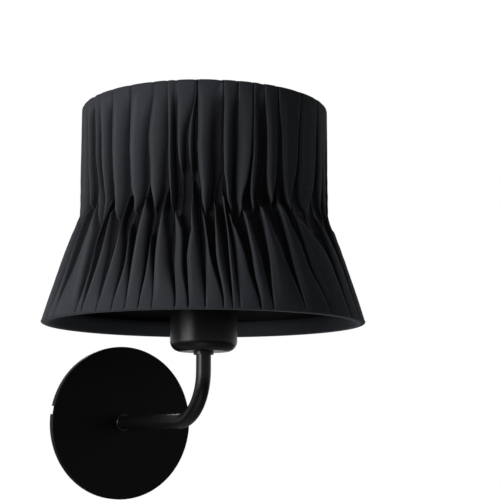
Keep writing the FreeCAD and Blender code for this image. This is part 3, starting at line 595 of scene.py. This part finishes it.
# %% The strip's measures
FLAT_WIDTH = 1.05
CLOTH = 0.4 * MM
FOLD_AT_HEM = 3.2 * MM
FOLD_AT_WAIST = 5.9 * MM
FOLD_AT_TOP = 1.95 * MM
CLEAR_OF_LINING = 0.55 * MM
FLARE_BULGE = 1.1 * MM
HEM_BAND = 10.5 * MM
BAND_WALL = 0.1 * MM
ROLL = 1.6 * MM
FLUSH = 0.45 * MM


def smooth_step(value):
    held = np.clip(value, 0.0, 1.0)
    return held * held * (3 - 2 * held)


def sleeve_at(place):
    """Radius of the cloth's seat on the lining, and how far its folds stand out from it."""
    if place >= 0:
        seat = lining_waist + (lining_top - lining_waist) * place
        fold = FOLD_AT_WAIST + (FOLD_AT_TOP - FOLD_AT_WAIST) * place
    else:
        seat = lining_waist - (lining_hem - lining_waist) * place
        fold = FOLD_AT_WAIST - (FOLD_AT_HEM - FOLD_AT_WAIST) * place
        fold = fold - 4 * FLARE_BULGE * place * (1 + place)
    return seat, fold


# %% The rims, rolled round their rings
RIM_ANGLES = (22, 50, 80)
INNER_ANGLES = (60, 20)
INNER_FLATTER = 0.8
BAND_STEPS = (0.25, 0.6, 1.0)


def round_rim(rim, height, way):
    """Rows over a rim's rounded edge, from its face to its end. Way is 1 upwards, -1 downwards."""
    rows = []
    for angle in RIM_ANGLES:
        turn = math.radians(angle)
        back = ROLL * (1 - math.cos(turn))
        over = ROLL * (1 - math.sin(turn))
        rows.append((way, rim - back - FLUSH * (90 - angle) / 90, rim - back, height - way * over))
    return rows


def turned_in(inner, height, way, slope):
    """Rows of the band that is turned in behind a rim, from the rim inwards."""
    rows = []
    for angle in INNER_ANGLES:
        turn = math.radians(angle)
        out = inner + ROLL * (1 - math.cos(turn))
        over = ROLL * (1 - math.sin(turn)) * INNER_FLATTER
        rows.append((way, out, out + BAND_WALL, height - way * over))
    for step in BAND_STEPS:
        back = inner - slope * HEM_BAND * step
        rows.append((way, back, back + BAND_WALL, height - way * HEM_BAND * step))
    return rows


# %% All rows, from the inside of the hem to the inside of the top
NEAR_HEM = [-0.975, -0.93, -0.88]
UNDER_WAIST = np.linspace(-0.26, -0.03, 8)
OVER_WAIST = np.linspace(0.0, 0.24, 8)
NEAR_TOP = [0.88, 0.93, 0.975]
FLARE_PLACES = np.concatenate([NEAR_HEM, np.linspace(-0.80, -0.32, 9), UNDER_WAIST])
DRUM_PLACES = np.concatenate([OVER_WAIST, np.linspace(0.31, 0.80, 8), NEAR_TOP])


def section_rows():
    """The cloth's way round both rings: place, radius of the seat, radius of the crests, height."""
    under = RING_WIRE + 3 * PLAY + LINING_WALL + CLOTH
    seat, fold = sleeve_at(-1.0)
    inner = seat - under * math.hypot(1, flare_slope)
    rows = turned_in(inner, hem_height, -1, flare_slope)[::-1]
    middle = (inner + seat + fold) / 2
    rows.append((-1, middle, middle + BAND_WALL, hem_height))
    rows += round_rim(seat + fold, hem_height, -1)[::-1]
    for place in np.concatenate([FLARE_PLACES, DRUM_PLACES]):
        seat, fold = sleeve_at(place)
        height = waist_height + place * (drum_height if place >= 0 else flare_height)
        rows.append((place, seat + CLEAR_OF_LINING, seat + fold, height))
    seat, fold = sleeve_at(1.0)
    inner = seat - under
    rows += round_rim(seat + fold, top_height, 1)
    middle = (inner + seat + fold) / 2
    rows.append((1, middle, middle + BAND_WALL, top_height))
    return rows + turned_in(inner, top_height, 1, 0)


print("rows:", len(section_rows()))

# %% [markdown]
# ## Edges of pleats and tongues
#
# A tongue is widest at the top and comes to a point below the waist, and a pleat is the other way
# round. At each height their left and right edges are worked out in degrees. Then they are put in
# order, pleat, tongue, pleat, tongue, and every fold and gap keeps a least width, also where it has
# closed. Two edges in the same place would leave the mesh with faces that lie in each other. Widths
# are in degrees, and heights and the spans over which something changes are places on the strip.

# %% Edges at one height
LEAST = 0.06
LEASTS_IN_A_FOLD = 5
SLIT = 0.15
PLEAT_SLIT = 0.1
GAP_KEPT = 0.35
GAP_CLOSES_OVER = 0.3
GAP_AT_HEM, GAP_AT_MOST = 0.12, 1.4
HALF_WAY = 0.5
EASE, LATE_EASE = 0.45, 0.5
WHOLE_AT = 0.95
LEFT_CURVE, RIGHT_CURVE = 8, 5
SWEPT_FROM = -0.3
MOVED_OVER = 0.4
ASIDE_FROM, ASIDE_OVER = 0.04, 0.16


def next_one(turns):
    """The same turns, in degrees, one row further round."""
    following = np.roll(turns, -1)
    following[-1] += 360
    return following


def swept(start, half, end, way):
    """Turns that go from a start over a half-way value to an end, as way goes from 0 to 1."""
    first = 1 - (1 - np.clip(way / EASE, 0, 1)) ** 2
    second = smooth_step((way - EASE) / LATE_EASE)
    return start + (half - start) * first + (end - half) * second


def tongue_edges(place):
    """Edges of the tongues. They leave the bottom point in a curve, the left one first."""
    up = max(place, 0)
    left = tongue_low + (tongue_half - tongue_low) * smooth_step(up / EASE)
    left = left + (tongue_top - tongue_half) * smooth_step((up - HALF_WAY) / EASE)
    opened = smooth_step((open_to - place) / GAP_CLOSES_OVER)
    gap = tongue_gap * (GAP_KEPT + (1 - GAP_KEPT) * opened) + SLIT
    right = next_one(left) - gap
    grown = np.clip((place - tongue_end) / (WHOLE_AT - tongue_end), 0, 1)
    left = bottom_turn + (left - bottom_turn) * (1 - (1 - grown) ** LEFT_CURVE)
    right = bottom_turn + (right - bottom_turn) * (1 - (1 - grown) ** RIGHT_CURVE)
    return left, right


def pleat_line(place, tongue_left):
    """Left edges of the pleats. Above its tip, a pleat moves over to its tongue's left edge."""
    start = np.maximum(fold_top, SWEPT_FROM)
    left = swept(pleat_tip, pleat_half, pleat_hem, np.clip((start - place) / (start + 1), 0, 1))
    above = smooth_step((place - fold_top) / MOVED_OVER)
    left = left + (tongue_left - pleat_tip) * np.where(place > start, above, 0)
    room = np.arange(FOLDS) * LEASTS_IN_A_FOLD * LEAST
    return np.maximum.accumulate(left - room) + room


def edges(place):
    """Turns, in radians, of the left and right edges of pleats and tongues, in their order."""
    tongue_left, tongue_right = tongue_edges(place)
    pleat_left = pleat_line(place, tongue_left)
    gap = pleat_gap * min(max(2 + 2 * place, GAP_AT_HEM), GAP_AT_MOST)
    opened = 1 - (1 - np.clip((fold_top - place) / EASE, 0, 1)) ** 2
    pleat_right = pleat_left + (next_one(pleat_left) - gap - PLEAT_SLIT - pleat_left) * opened
    free = smooth_step((tongue_end - place + ASIDE_FROM) / ASIDE_OVER)
    aside = np.maximum(tongue_left, pleat_right + LEAST)
    tongue_left = tongue_left + (aside - tongue_left) * free
    limit = next_one(pleat_left) - LEAST
    tongue_left = np.clip(tongue_left, pleat_left + 2 * LEAST, limit - LEAST)
    pleat_right = np.clip(pleat_right, pleat_left + LEAST, tongue_left - LEAST)
    tongue_right = np.clip(tongue_right, tongue_left + LEAST, limit)
    return [np.radians(turns) for turns in (pleat_left, pleat_right, tongue_left, tongue_right)]


# %% [markdown]
# ## The form of one fold
#
# A sewn fold has one crisp edge that stands a little proud, and a back that rolls away into the
# gap. The valley point between two folds is tucked in under the next one, so that the gap is a slit
# with a shadow in it.

# %% Across one fold: where its points lie and how far each drops
ACROSS = np.array([0.0, 0.05, 0.17, 0.38, 0.58, 0.76, 0.89, 1.0])
COLUMNS = 2 * (len(ACROSS) + 1)
RIDGE_SHARE = 0.17
RIDGE_DROP = 0.16
PLEAT_ROLL = 2.8
TONGUE_ROLL = 2.2


def pillow(left, right, fall, roll, ridge):
    """Turns across a fold, and how far each point has dropped from the crest, as a share."""
    across = 1 - ACROSS[::-1] if ridge else ACROSS
    behind = 1 - across if ridge else across
    front = np.clip((RIDGE_SHARE - behind) / RIDGE_SHARE, 0, 1) ** 2 * RIDGE_DROP
    back = np.clip((behind - RIDGE_SHARE) / (1 - RIDGE_SHARE), 0, 1) ** roll * fall
    return left + (right - left) * across, front + back


# %% Crests and valleys at one height
TONGUE_FOLLOWS_FLARE = 0.6
ENDS_EARLY = 0.01
PLEAT_RISES_OVER = 0.06
TONGUE_RISES_OVER = 0.035
SLIT_CLOSES_OVER = 0.3
SLIT_CLOSED, SMOOTH_CLOSED = 0.8, 0.9
VALLEY_UNDER, VALLEY_SHARE = 0.6 * FLUSH, 0.1


def crests(place, crest, depth):
    """Radii of all crests. Each fold leans on past the waist and sinks at its end."""
    bow = 4 * abs(place) * (1 - abs(place))
    waist_crest = lining_waist + FOLD_AT_WAIST
    leaning_in = waist_crest - flare_slope * place * drum_height if place > 0 else crest
    flared = waist_crest + (crest - waist_crest) * TONGUE_FOLLOWS_FLARE
    straight_on = flared if place < 0 else crest
    fold_sunk = 1 - smooth_step((fold_top - place + ENDS_EARLY) / PLEAT_RISES_OVER)
    tongue_sunk = 1 - smooth_step((place - tongue_end + ENDS_EARLY) / TONGUE_RISES_OVER)
    pleats = leaning_in + fold_lift * bow - depth * fold_sunk * calm
    tongues = straight_on + tongue_lift * bow - depth * tongue_sunk * calm
    return pleats, tongues


def valleys(place, seat, depth, shut):
    """Radii of the valleys, and how far each is closed: at rims, past its slit, where smooth."""
    past_slit = smooth_step((place - open_to + SLIT_CLOSES_OVER / 2) / SLIT_CLOSES_OVER)
    closing = np.maximum(shut, past_slit * SLIT_CLOSED)
    closing = np.maximum(closing, (1 - calm) * SMOOTH_CLOSED)
    return seat + (depth - min(VALLEY_UNDER, depth * VALLEY_SHARE)) * closing, closing


# %% One row of the cloth
TUCK = math.radians(0.55)
TUCK_SHARE = 0.35
MID_GAP = 0.55
LEAST_STEP = 0.05
LEAST_STAND = 0.12
PRESSED_FLAT = 0.2 * MM
NEAR_RIM = 0.4
SHUT_FROM, SHUT_OVER = 0.82, 0.12
FALL_AT_RIM = 0.15
FLARE_SLACK, SLACK_OVER = 0.65, 0.15
SUNK_SHADE = 0.5
RIDGE_LIGHT, SAME_DROP = 0.3, 0.001


def gathered_row(row):
    """Turns, radii and the share of painted shade of one row of the cloth, fold by fold."""
    place, seat, crest, _ = row
    depth = crest - seat
    away = min(1.0, (1 - abs(place)) / NEAR_RIM)
    shut = smooth_step((abs(place) - SHUT_FROM) / SHUT_OVER)
    slack = FLARE_SLACK + (1 - FLARE_SLACK) * smooth_step((place + SLACK_OVER) / SLACK_OVER)
    rounding = (FALL_AT_RIM + (1 - FALL_AT_RIM) * away) * round_off
    fall = np.minimum(rounding, 1.0) * slack * calm
    floor = seat + LEAST_STAND * depth
    pleat_left, pleat_right, tongue_left, tongue_right = edges(place)
    pleat_crest, tongue_crest = crests(place, crest, depth)
    valley, closing = valleys(place, seat, depth, shut)
    turns, radii, fold_shading = [], [], []
    for index in range(FOLDS):
        early = float(seen_into[index])
        low, open_share = valley[index - 1], 1 - closing[index - 1]
        soft, roll = fall[index], PLEAT_ROLL - early
        pleat = pillow(pleat_left[index], pleat_right[index], soft, roll, pleat_ridge[index])
        roll = TONGUE_ROLL - early
        tongue = pillow(tongue_left[index], tongue_right[index], soft, roll, tongue_ridge[index])
        for top, (way, drop) in ((pleat_crest[index], pleat), (tongue_crest[index], tongue)):
            top = max(top, floor)
            height = top - (top - seat) * drop
            tuck = min(TUCK, (way[-1] - way[0]) * TUCK_SHARE) * away
            if seen_into[index] and turns:
                tuck = -MID_GAP * (way[0] - turns[-1])
            turns += [way[0] + tuck, *way]
            radii += [min(low, height[0] - min(LEAST_STEP * MM, depth * LEAST_STEP)), *height]
            # The share of painted shade at each point: more as it drops from its crest, on a sunk
            # fold and in an open valley, and below nought on a ridge, for a painted highlight.
            sunk = SUNK_SHADE * (crest - top) / depth
            on_ridge = np.abs(drop - drop.min()) < SAME_DROP
            ridge = np.where(on_ridge, RIDGE_LIGHT, 0) * (1 - shut)
            # Folds seen into get more painted shade on their backs and in their slits.
            shade = (1 + early / 2) * (1 - shut)
            fold_shading += [open_share * (1 + early), *(drop * shade + sunk - ridge)]
    if depth < PRESSED_FLAT:
        radii = np.full(len(turns), crest)
    return np.array(turns) + CAMERA_SIDE, np.array(radii), np.array(fold_shading)


# %% [markdown]
# ## From the flat cut to the gathered cover
#
# The grid has one row of points for each step from hem to top, and a fixed number of columns for
# each fold. Its 45,000 points are set all at once, because moving them one by one with operators
# would take minutes. Two things are kept beside them: the flat cut, as the UV map that the weave is
# drawn on, and how much shade is painted on each point, darker deep in the folds and lighter on the
# ridges. The ends of the strip meet in a closed seam, and Solidify gives the cloth its thickness.

# %% The cloth, carried to its folds
CREASE = 0.22 * MM
CREASES_ROUND, CREASES_UP = (9, 23), (260, 410)
RIM_DIP = np.array([0.45, 0.30, 0.06, 0, 0, 0, 0.05, 0.15, 0.30]) * MM
DIPS_FROM = 0.95
SAME_POINT = 0.001 * MM


def creased(turns, height):
    """Faint waves across the cloth, from -1 to 1."""
    one = np.sin(turns * CREASES_ROUND[0] + height * CREASES_UP[0])
    other = np.sin(turns * CREASES_ROUND[1] + height * CREASES_UP[1])
    return one * other


def gathered_points(rows, columns):
    """Every point of the cloth, the shade painted on it, and how far along the flat cut each row
    is.
    """
    points = np.zeros((len(rows), columns + 1, 3))
    fold_shading = np.zeros((len(rows), columns + 1))
    run = [0.0]
    for index, row in enumerate(rows):
        place, _, crest, height = row
        turns, radii, row_shading = gathered_row(row)
        radii = radii + creased(turns, height) * CREASE * (1 - abs(place))
        fold_shading[index, :columns] = row_shading
        points[index, :columns, 0] = AXIS.x + radii * np.cos(turns)
        points[index, :columns, 1] = AXIS.y + radii * np.sin(turns)
        points[index, :columns, 2] = height
        if place > DIPS_FROM and crest > lining_top:
            points[index, :columns, 2] -= np.tile(RIM_DIP, 2 * FOLDS)
        if index:
            before = rows[index - 1]
            run.append(run[-1] + math.hypot(crest - before[2], height - before[3]))
    points[:, columns] = points[:, 0]
    fold_shading[:, columns] = fold_shading[:, 0]
    return points, fold_shading, run


def draw_flat_cut(mesh, columns, run):
    """The UV map: metres round and up the strip, as it was cut."""
    flat = np.zeros((len(run), columns + 1, 2))
    flat[:, :, 0] = np.linspace(0, FLAT_WIDTH, columns + 1)
    flat[:, :, 1] = np.array(run)[:, None]
    corner = np.zeros(len(mesh.loops), int)
    mesh.loops.foreach_get("vertex_index", corner)
    mesh.uv_layers[0].data.foreach_set("uv", flat.reshape(-1, 2)[corner].ravel())
    mesh.uv_layers[0].name = "flat_cut"


def close_seams():
    """Merges points in the same place and turns the faces of the active mesh outwards."""
    bpy.ops.object.mode_set(mode="EDIT")
    bpy.ops.mesh.select_all(action="SELECT")
    bpy.ops.mesh.remove_doubles(threshold=SAME_POINT)
    bpy.ops.mesh.normals_make_consistent(inside=False)
    bpy.ops.object.mode_set(mode="OBJECT")


def make_cover():
    rows = section_rows()
    columns = FOLDS * COLUMNS
    bpy.ops.object.select_all(action="DESELECT")
    bpy.ops.mesh.primitive_grid_add(x_subdivisions=columns, y_subdivisions=len(rows) - 1, size=1)
    cover = bpy.context.object
    cover.name = "gathered_cover"
    mesh = cover.data
    points, fold_shading, run = gathered_points(rows, columns)
    mesh.vertices.foreach_set("co", points.ravel())
    # The painted shade and ridge highlight for the cloth's colour, kept with the points.
    depth = mesh.attributes.new("painted_fold_shading", "FLOAT", "POINT")
    depth.data.foreach_set("value", fold_shading.ravel())
    draw_flat_cut(mesh, columns, run)
    mesh.update()
    close_seams()
    print("cloth rows", len(rows), "columns", columns, "run", round(run[-1], 4))
    heights = [row[3] for row in rows]
    return cover, run[heights.index(min(heights))], run[heights.index(max(heights))]


cover, hem_line, top_line = make_cover()
thickness = cover.modifiers.new("cloth", "SOLIDIFY")
thickness.thickness = CLOTH
thickness.offset = -1
bpy.ops.object.modifier_apply(modifier="cloth")
bpy.ops.object.shade_smooth()
print("cover", len(cover.data.polygons), "faces")

# %% [markdown]
# ## Black cotton
#
# The cloth is a plain weave of black cotton, with thicker yarns here and there. It is blue-black
# where light reaches it. Deep in the folds a painted shade makes it nearly black, and on the ridges
# and along the rims a painted highlight makes it a little lighter. The yarns are two sets of waves
# on the flat cut, crossed and made uneven by noise. How much shade is painted in the folds and on
# the ridges comes from the attribute that was kept with the points.


# %% The cotton
YARN = 0.42 * MM
YARN_WANDER = 40
LIT_DARK = (0.0250, 0.0270, 0.0318, 1)
LIT_PALE = (0.0315, 0.0338, 0.0390, 1)
THIN_YARN = (0.018, 0.019, 0.0215, 1)
PAINTED_FOLD_SHADE = (0.005, 0.005, 0.006, 1)
PAINTED_RIDGE_HIGHLIGHT = (0.044, 0.047, 0.053, 1)
PAINTED_RIM_HIGHLIGHT = (0.085, 0.088, 0.095, 1)


def cotton():
    made = Finish("black_cotton", Roughness=0.85)
    made.set("Specular IOR Level", 0.06)
    made.set("Sheen Weight", 0.045)
    made.set("Sheen Roughness", 0.45)
    made.set("Sheen Tint", (0.85, 0.9, 1.0, 1))
    flat = made.add("ShaderNodeUVMap", {"uv_map": "flat_cut"})
    across = made.add("ShaderNodeSeparateXYZ", None, {0: flat}, output=0)
    along = made.add("ShaderNodeSeparateXYZ", None, {0: flat}, output=1)
    wander = made.noise(flat, 6 * MM, detail=5.0) * YARN_WANDER
    warp = made.sine(across * (2 * math.pi / YARN) + wander)
    weft = made.sine(along * (2 * math.pi / YARN) + wander)
    weave = warp * weft * 0.5 + 0.5
    cloud = made.noise(made.place(), 18 * MM, detail=4.0)
    slub = made.noise(flat, 2.2 * MM, detail=3.0)
    shading_share = made.add("ShaderNodeAttribute", {"attribute_name": "painted_fold_shading"}, output=2)
    lit = made.mix(cloud, LIT_DARK, LIT_PALE)
    worn = made.mix(slub * 0.35, lit, THIN_YARN)
    # Painted shade: nearly black deep in the folds, from the kept shading attribute.
    shaded = made.mix(made.spread(shading_share, 0.10, 0.85, 0.0, 0.93), worn, PAINTED_FOLD_SHADE)
    # Painted highlight on the ridges, where the shading attribute goes below nought.
    shaded = made.mix(made.spread(0.0 - shading_share, 0.04, 0.28, 0.0, 0.55), shaded, PAINTED_RIDGE_HIGHLIGHT)
    # Painted highlight along the hem and the top rim, broken up by the slub.
    near_hem = 1 - made.spread(made.off(along - hem_line), 0.8 * MM, 2.2 * MM, 0.0, 1.0)
    near_top = 1 - made.spread(made.off(along - top_line), 0.8 * MM, 2.0 * MM, 0.0, 1.0)
    rim_highlight = made.spread(slub, 0.25, 0.65, 0.35, 1.0) * (near_hem + near_top * 0.4)
    made.set("Base Color", made.mix(rim_highlight * 0.8, shaded, PAINTED_RIM_HIGHLIGHT))
    made.set("Roughness", made.vary(slub, 0.78, 0.92))
    made.set("Normal", made.bump(weave * 0.35 + slub * 0.65, 0.05 * MM))
    return made.material


cover.data.materials.clear()
cover.data.materials.append(cotton())
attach(cover, "shade")
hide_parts("pleated_cover")

# %% [markdown]
# ## The shade ring's grips
#
# The ring that clamps the shade's fitter on the lampholder is moulded with ribs, for fingers to
# turn it by. One rib is a small bar with its edges bevelled round. It is copied round the ring,
# each copy with its own mesh, and the copies are joined into one piece that turns with the ring.
# The helpers for that serve the next pieces too.


# %% Helpers for pieces that repeat
SMOOTH_UP_TO = math.radians(50)


def in_place(piece):
    """Puts an object's place, turn and scale into its mesh."""
    bpy.ops.object.select_all(action="DESELECT")
    piece.select_set(True)
    bpy.context.view_layer.objects.active = piece
    bpy.ops.object.transform_apply(location=True, rotation=True, scale=True)


def rounded(piece, width, segments):
    """Bevels all edges of a piece."""
    bpy.ops.object.mode_set(mode="EDIT")
    bpy.ops.mesh.select_all(action="SELECT")
    bpy.ops.mesh.bevel(offset=width, segments=segments, affect="EDGES")
    bpy.ops.object.mode_set(mode="OBJECT")


def copies_round(piece, turns):
    """Copies of a piece, each with its own mesh, at turns round the holder's axis."""
    there, back = Matrix.Translation(AXIS), Matrix.Translation(-AXIS)
    copies = []
    for turn in turns:
        copy = piece.copy()
        copy.data = piece.data.copy()
        copy.data.transform(there @ Matrix.Rotation(turn, 4, "Z") @ back)
        bpy.context.collection.objects.link(copy)
        copies.append(copy)
    bpy.data.objects.remove(piece)
    return copies


def joined(name, pieces, node):
    """One piece out of several, with the finish and the slot of a node, ready to ride."""
    bpy.ops.object.select_all(action="DESELECT")
    for piece in pieces:
        piece.select_set(True)
    bpy.context.view_layer.objects.active = pieces[0]
    if len(pieces) > 1:
        bpy.ops.object.join()
    whole = bpy.context.object
    whole.name = name
    bpy.ops.object.shade_smooth_by_angle(angle=SMOOTH_UP_TO)
    whole.data.materials.clear()
    whole.data.materials.append(FINISHES[slot_of[node]])
    print(name, len(whole.data.polygons), "faces")
    return whole


# %% One rib, copied round the ring
FLANGE_THICK = 2.0 * MM
BODY_INSIDE = 3.4 * MM
GRIP_COUNT = 40
GRIP_DEEP = 1.5 * MM
GRIP_WIDE = 1.7 * MM
GRIP_EDGE = 0.45 * MM
GRIP_PROUD = 0.3 * MM
GRIP_SUNK = 0.2 * MM
GRIP_BELOW_TOP = 0.7 * MM
ring_low, ring_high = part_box("shade_ring")
grip_radius = half_width("shade_ring") - BODY_INSIDE
grip_foot = ring_low.z + FLANGE_THICK - GRIP_SUNK
grip_top = ring_high.z - GRIP_BELOW_TOP
grip_centre = (grip_radius + GRIP_PROUD, AXIS.y, (grip_foot + grip_top) / 2)
bpy.ops.object.select_all(action="DESELECT")
bpy.ops.mesh.primitive_cube_add(size=1, location=grip_centre)
grip = bpy.context.object
grip.scale = (GRIP_DEEP, GRIP_WIDE, grip_top - grip_foot)
in_place(grip)
rounded(grip, GRIP_EDGE, 3)
grip_turns = np.linspace(0, 2 * math.pi, GRIP_COUNT, endpoint=False)
grips = joined("shade_ring_grips", copies_round(grip, grip_turns), "shade_ring")
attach(grips, "clamp_ring")

# %% [markdown]
# ## The rolled thread in the lampholder
#
# The shell that the lamp screws into is thin brass with its thread rolled in, so the wave shows
# inside and out. A lathe can't give a helix. The shell is a fine grid bent into a tube instead,
# each point moved in or out by its height and its turn, and then given the sheet's thickness.


# %% The shell's measures and its line from floor to rim
SHELL_WALL = 0.6 * MM
SHELL_OPENING = 11.0 * MM
SHELL_PITCH = 3.63 * MM
SHELL_STEP = 0.9 * MM
SHELL_FOOT = 4.5 * MM
SHELL_COLLAR = 2.6 * MM
SHELL_BEND = 0.4 * MM
SHELL_ROUND = 96
SHELL_ROWS = 96
shell_low, shell_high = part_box("screw_shell")
shell_wide = half_width("screw_shell") - SHELL_WALL / 2
thread_heights = np.linspace(shell_low.z + SHELL_FOOT, shell_high.z - SHELL_COLLAR, SHELL_ROWS)


def shell_line():
    """Radius and height of each row: the floor, the bend, the thread's foot line, the collar."""
    narrow = shell_wide - SHELL_STEP
    floor = shell_low.z + SHELL_WALL / 2
    rows = [(SHELL_OPENING, floor), (narrow - SHELL_BEND, floor), (narrow, floor + SHELL_BEND)]
    rows += [(narrow, height) for height in thread_heights]
    rows += [(shell_wide, shell_high.z - 0.6 * SHELL_COLLAR), (shell_wide, shell_high.z)]
    return np.array(rows)


# %% A tube whose wall waves once a turn
def waving_points():
    """The wave rises out of the plain foot and settles into the collar."""
    radii, heights = shell_line().T
    turns = np.linspace(0, 2 * math.pi, SHELL_ROUND + 1)
    wave = 0.5 + 0.5 * np.sin(2 * math.pi * heights[:, None] / SHELL_PITCH - turns[None, :])
    rise = smooth_step((heights - thread_heights[0]) / (2 * SHELL_PITCH / 3))
    settle = smooth_step((heights - thread_heights[-1] + SHELL_PITCH / 2) / (SHELL_PITCH / 2))
    share = (wave * rise[:, None]) * (1 - settle[:, None]) + settle[:, None]
    radius = radii[:, None] + np.where(radii[:, None] < shell_wide, share * SHELL_STEP, 0)
    points = np.zeros((len(radii), SHELL_ROUND + 1, 3))
    points[:, :, 0] = AXIS.x + radius * np.cos(turns)
    points[:, :, 1] = AXIS.y + radius * np.sin(turns)
    points[:, :, 2] = heights[:, None]
    return points


def rolled_shell():
    points = waving_points()
    steps = len(points) - 1
    bpy.ops.object.select_all(action="DESELECT")
    bpy.ops.mesh.primitive_grid_add(x_subdivisions=SHELL_ROUND, y_subdivisions=steps, size=1)
    shell = bpy.context.object
    shell.data.vertices.foreach_set("co", points.ravel())
    close_seams()
    wall = shell.modifiers.new("wall", "SOLIDIFY")
    wall.thickness = SHELL_WALL
    wall.offset = 0
    bpy.ops.object.modifier_apply(modifier="wall")
    return shell


shell = joined("rolled_shell", [rolled_shell()], "screw_shell")
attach(shell, "fixture")
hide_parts("screw_shell")

# %% [markdown]
# ## Welds of the shade's frame
#
# The frame's wires are welded where they meet, and each weld leaves a small smooth bead under the
# black coating. A bead is a ball, pressed longer along the ring. One is made for each kind of joint
# and copied round: six ribs on every ring, on both sides of the waist ring, and the three arms of
# the shade's fitting inside the waist ring.


# %% Beads on the rings
RIB_TURNS = np.radians([0, 60, 120, 180, 240, 300])
RIB_BEAD = 1.35 * MM
RIB_BEAD_INSIDE = 0.7 * MM
RIB_BEAD_ASIDE = 1.1 * MM
ARM_TURNS = np.radians([90, 210, 330])
ARM_BEAD = 1.7 * MM
ARM_BEAD_INSIDE = 1.5 * MM
PRESSED = (0.85, 1.5, 1.0)


def beads(radius, height, size, turns):
    """A bead on a ring, copied to each of the turns."""
    bpy.ops.object.select_all(action="DESELECT")
    place = (radius, AXIS.y, height)
    bpy.ops.mesh.primitive_ico_sphere_add(subdivisions=3, radius=size, location=place)
    bead = bpy.context.object
    bead.scale = PRESSED
    in_place(bead)
    return copies_round(bead, turns)


def ring_line(node):
    """Radius and height of a ring's wire."""
    low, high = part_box(node)
    return half_width(node) - RING_WIRE / 2, (low.z + high.z) / 2


all_beads = []
for node, sides in (("top_ring", [-1]), ("waist_ring", [-1, 1]), ("bottom_ring", [1])):
    radius, height = ring_line(node)
    for side in sides:
        beside = height + side * RIB_BEAD_ASIDE
        all_beads += beads(radius - RIB_BEAD_INSIDE, beside, RIB_BEAD, RIB_TURNS)
radius, height = ring_line("waist_ring")
all_beads += beads(radius - ARM_BEAD_INSIDE, height, ARM_BEAD, ARM_TURNS)
welds = joined("frame_welds", all_beads, "waist_ring")
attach(welds, "shade")
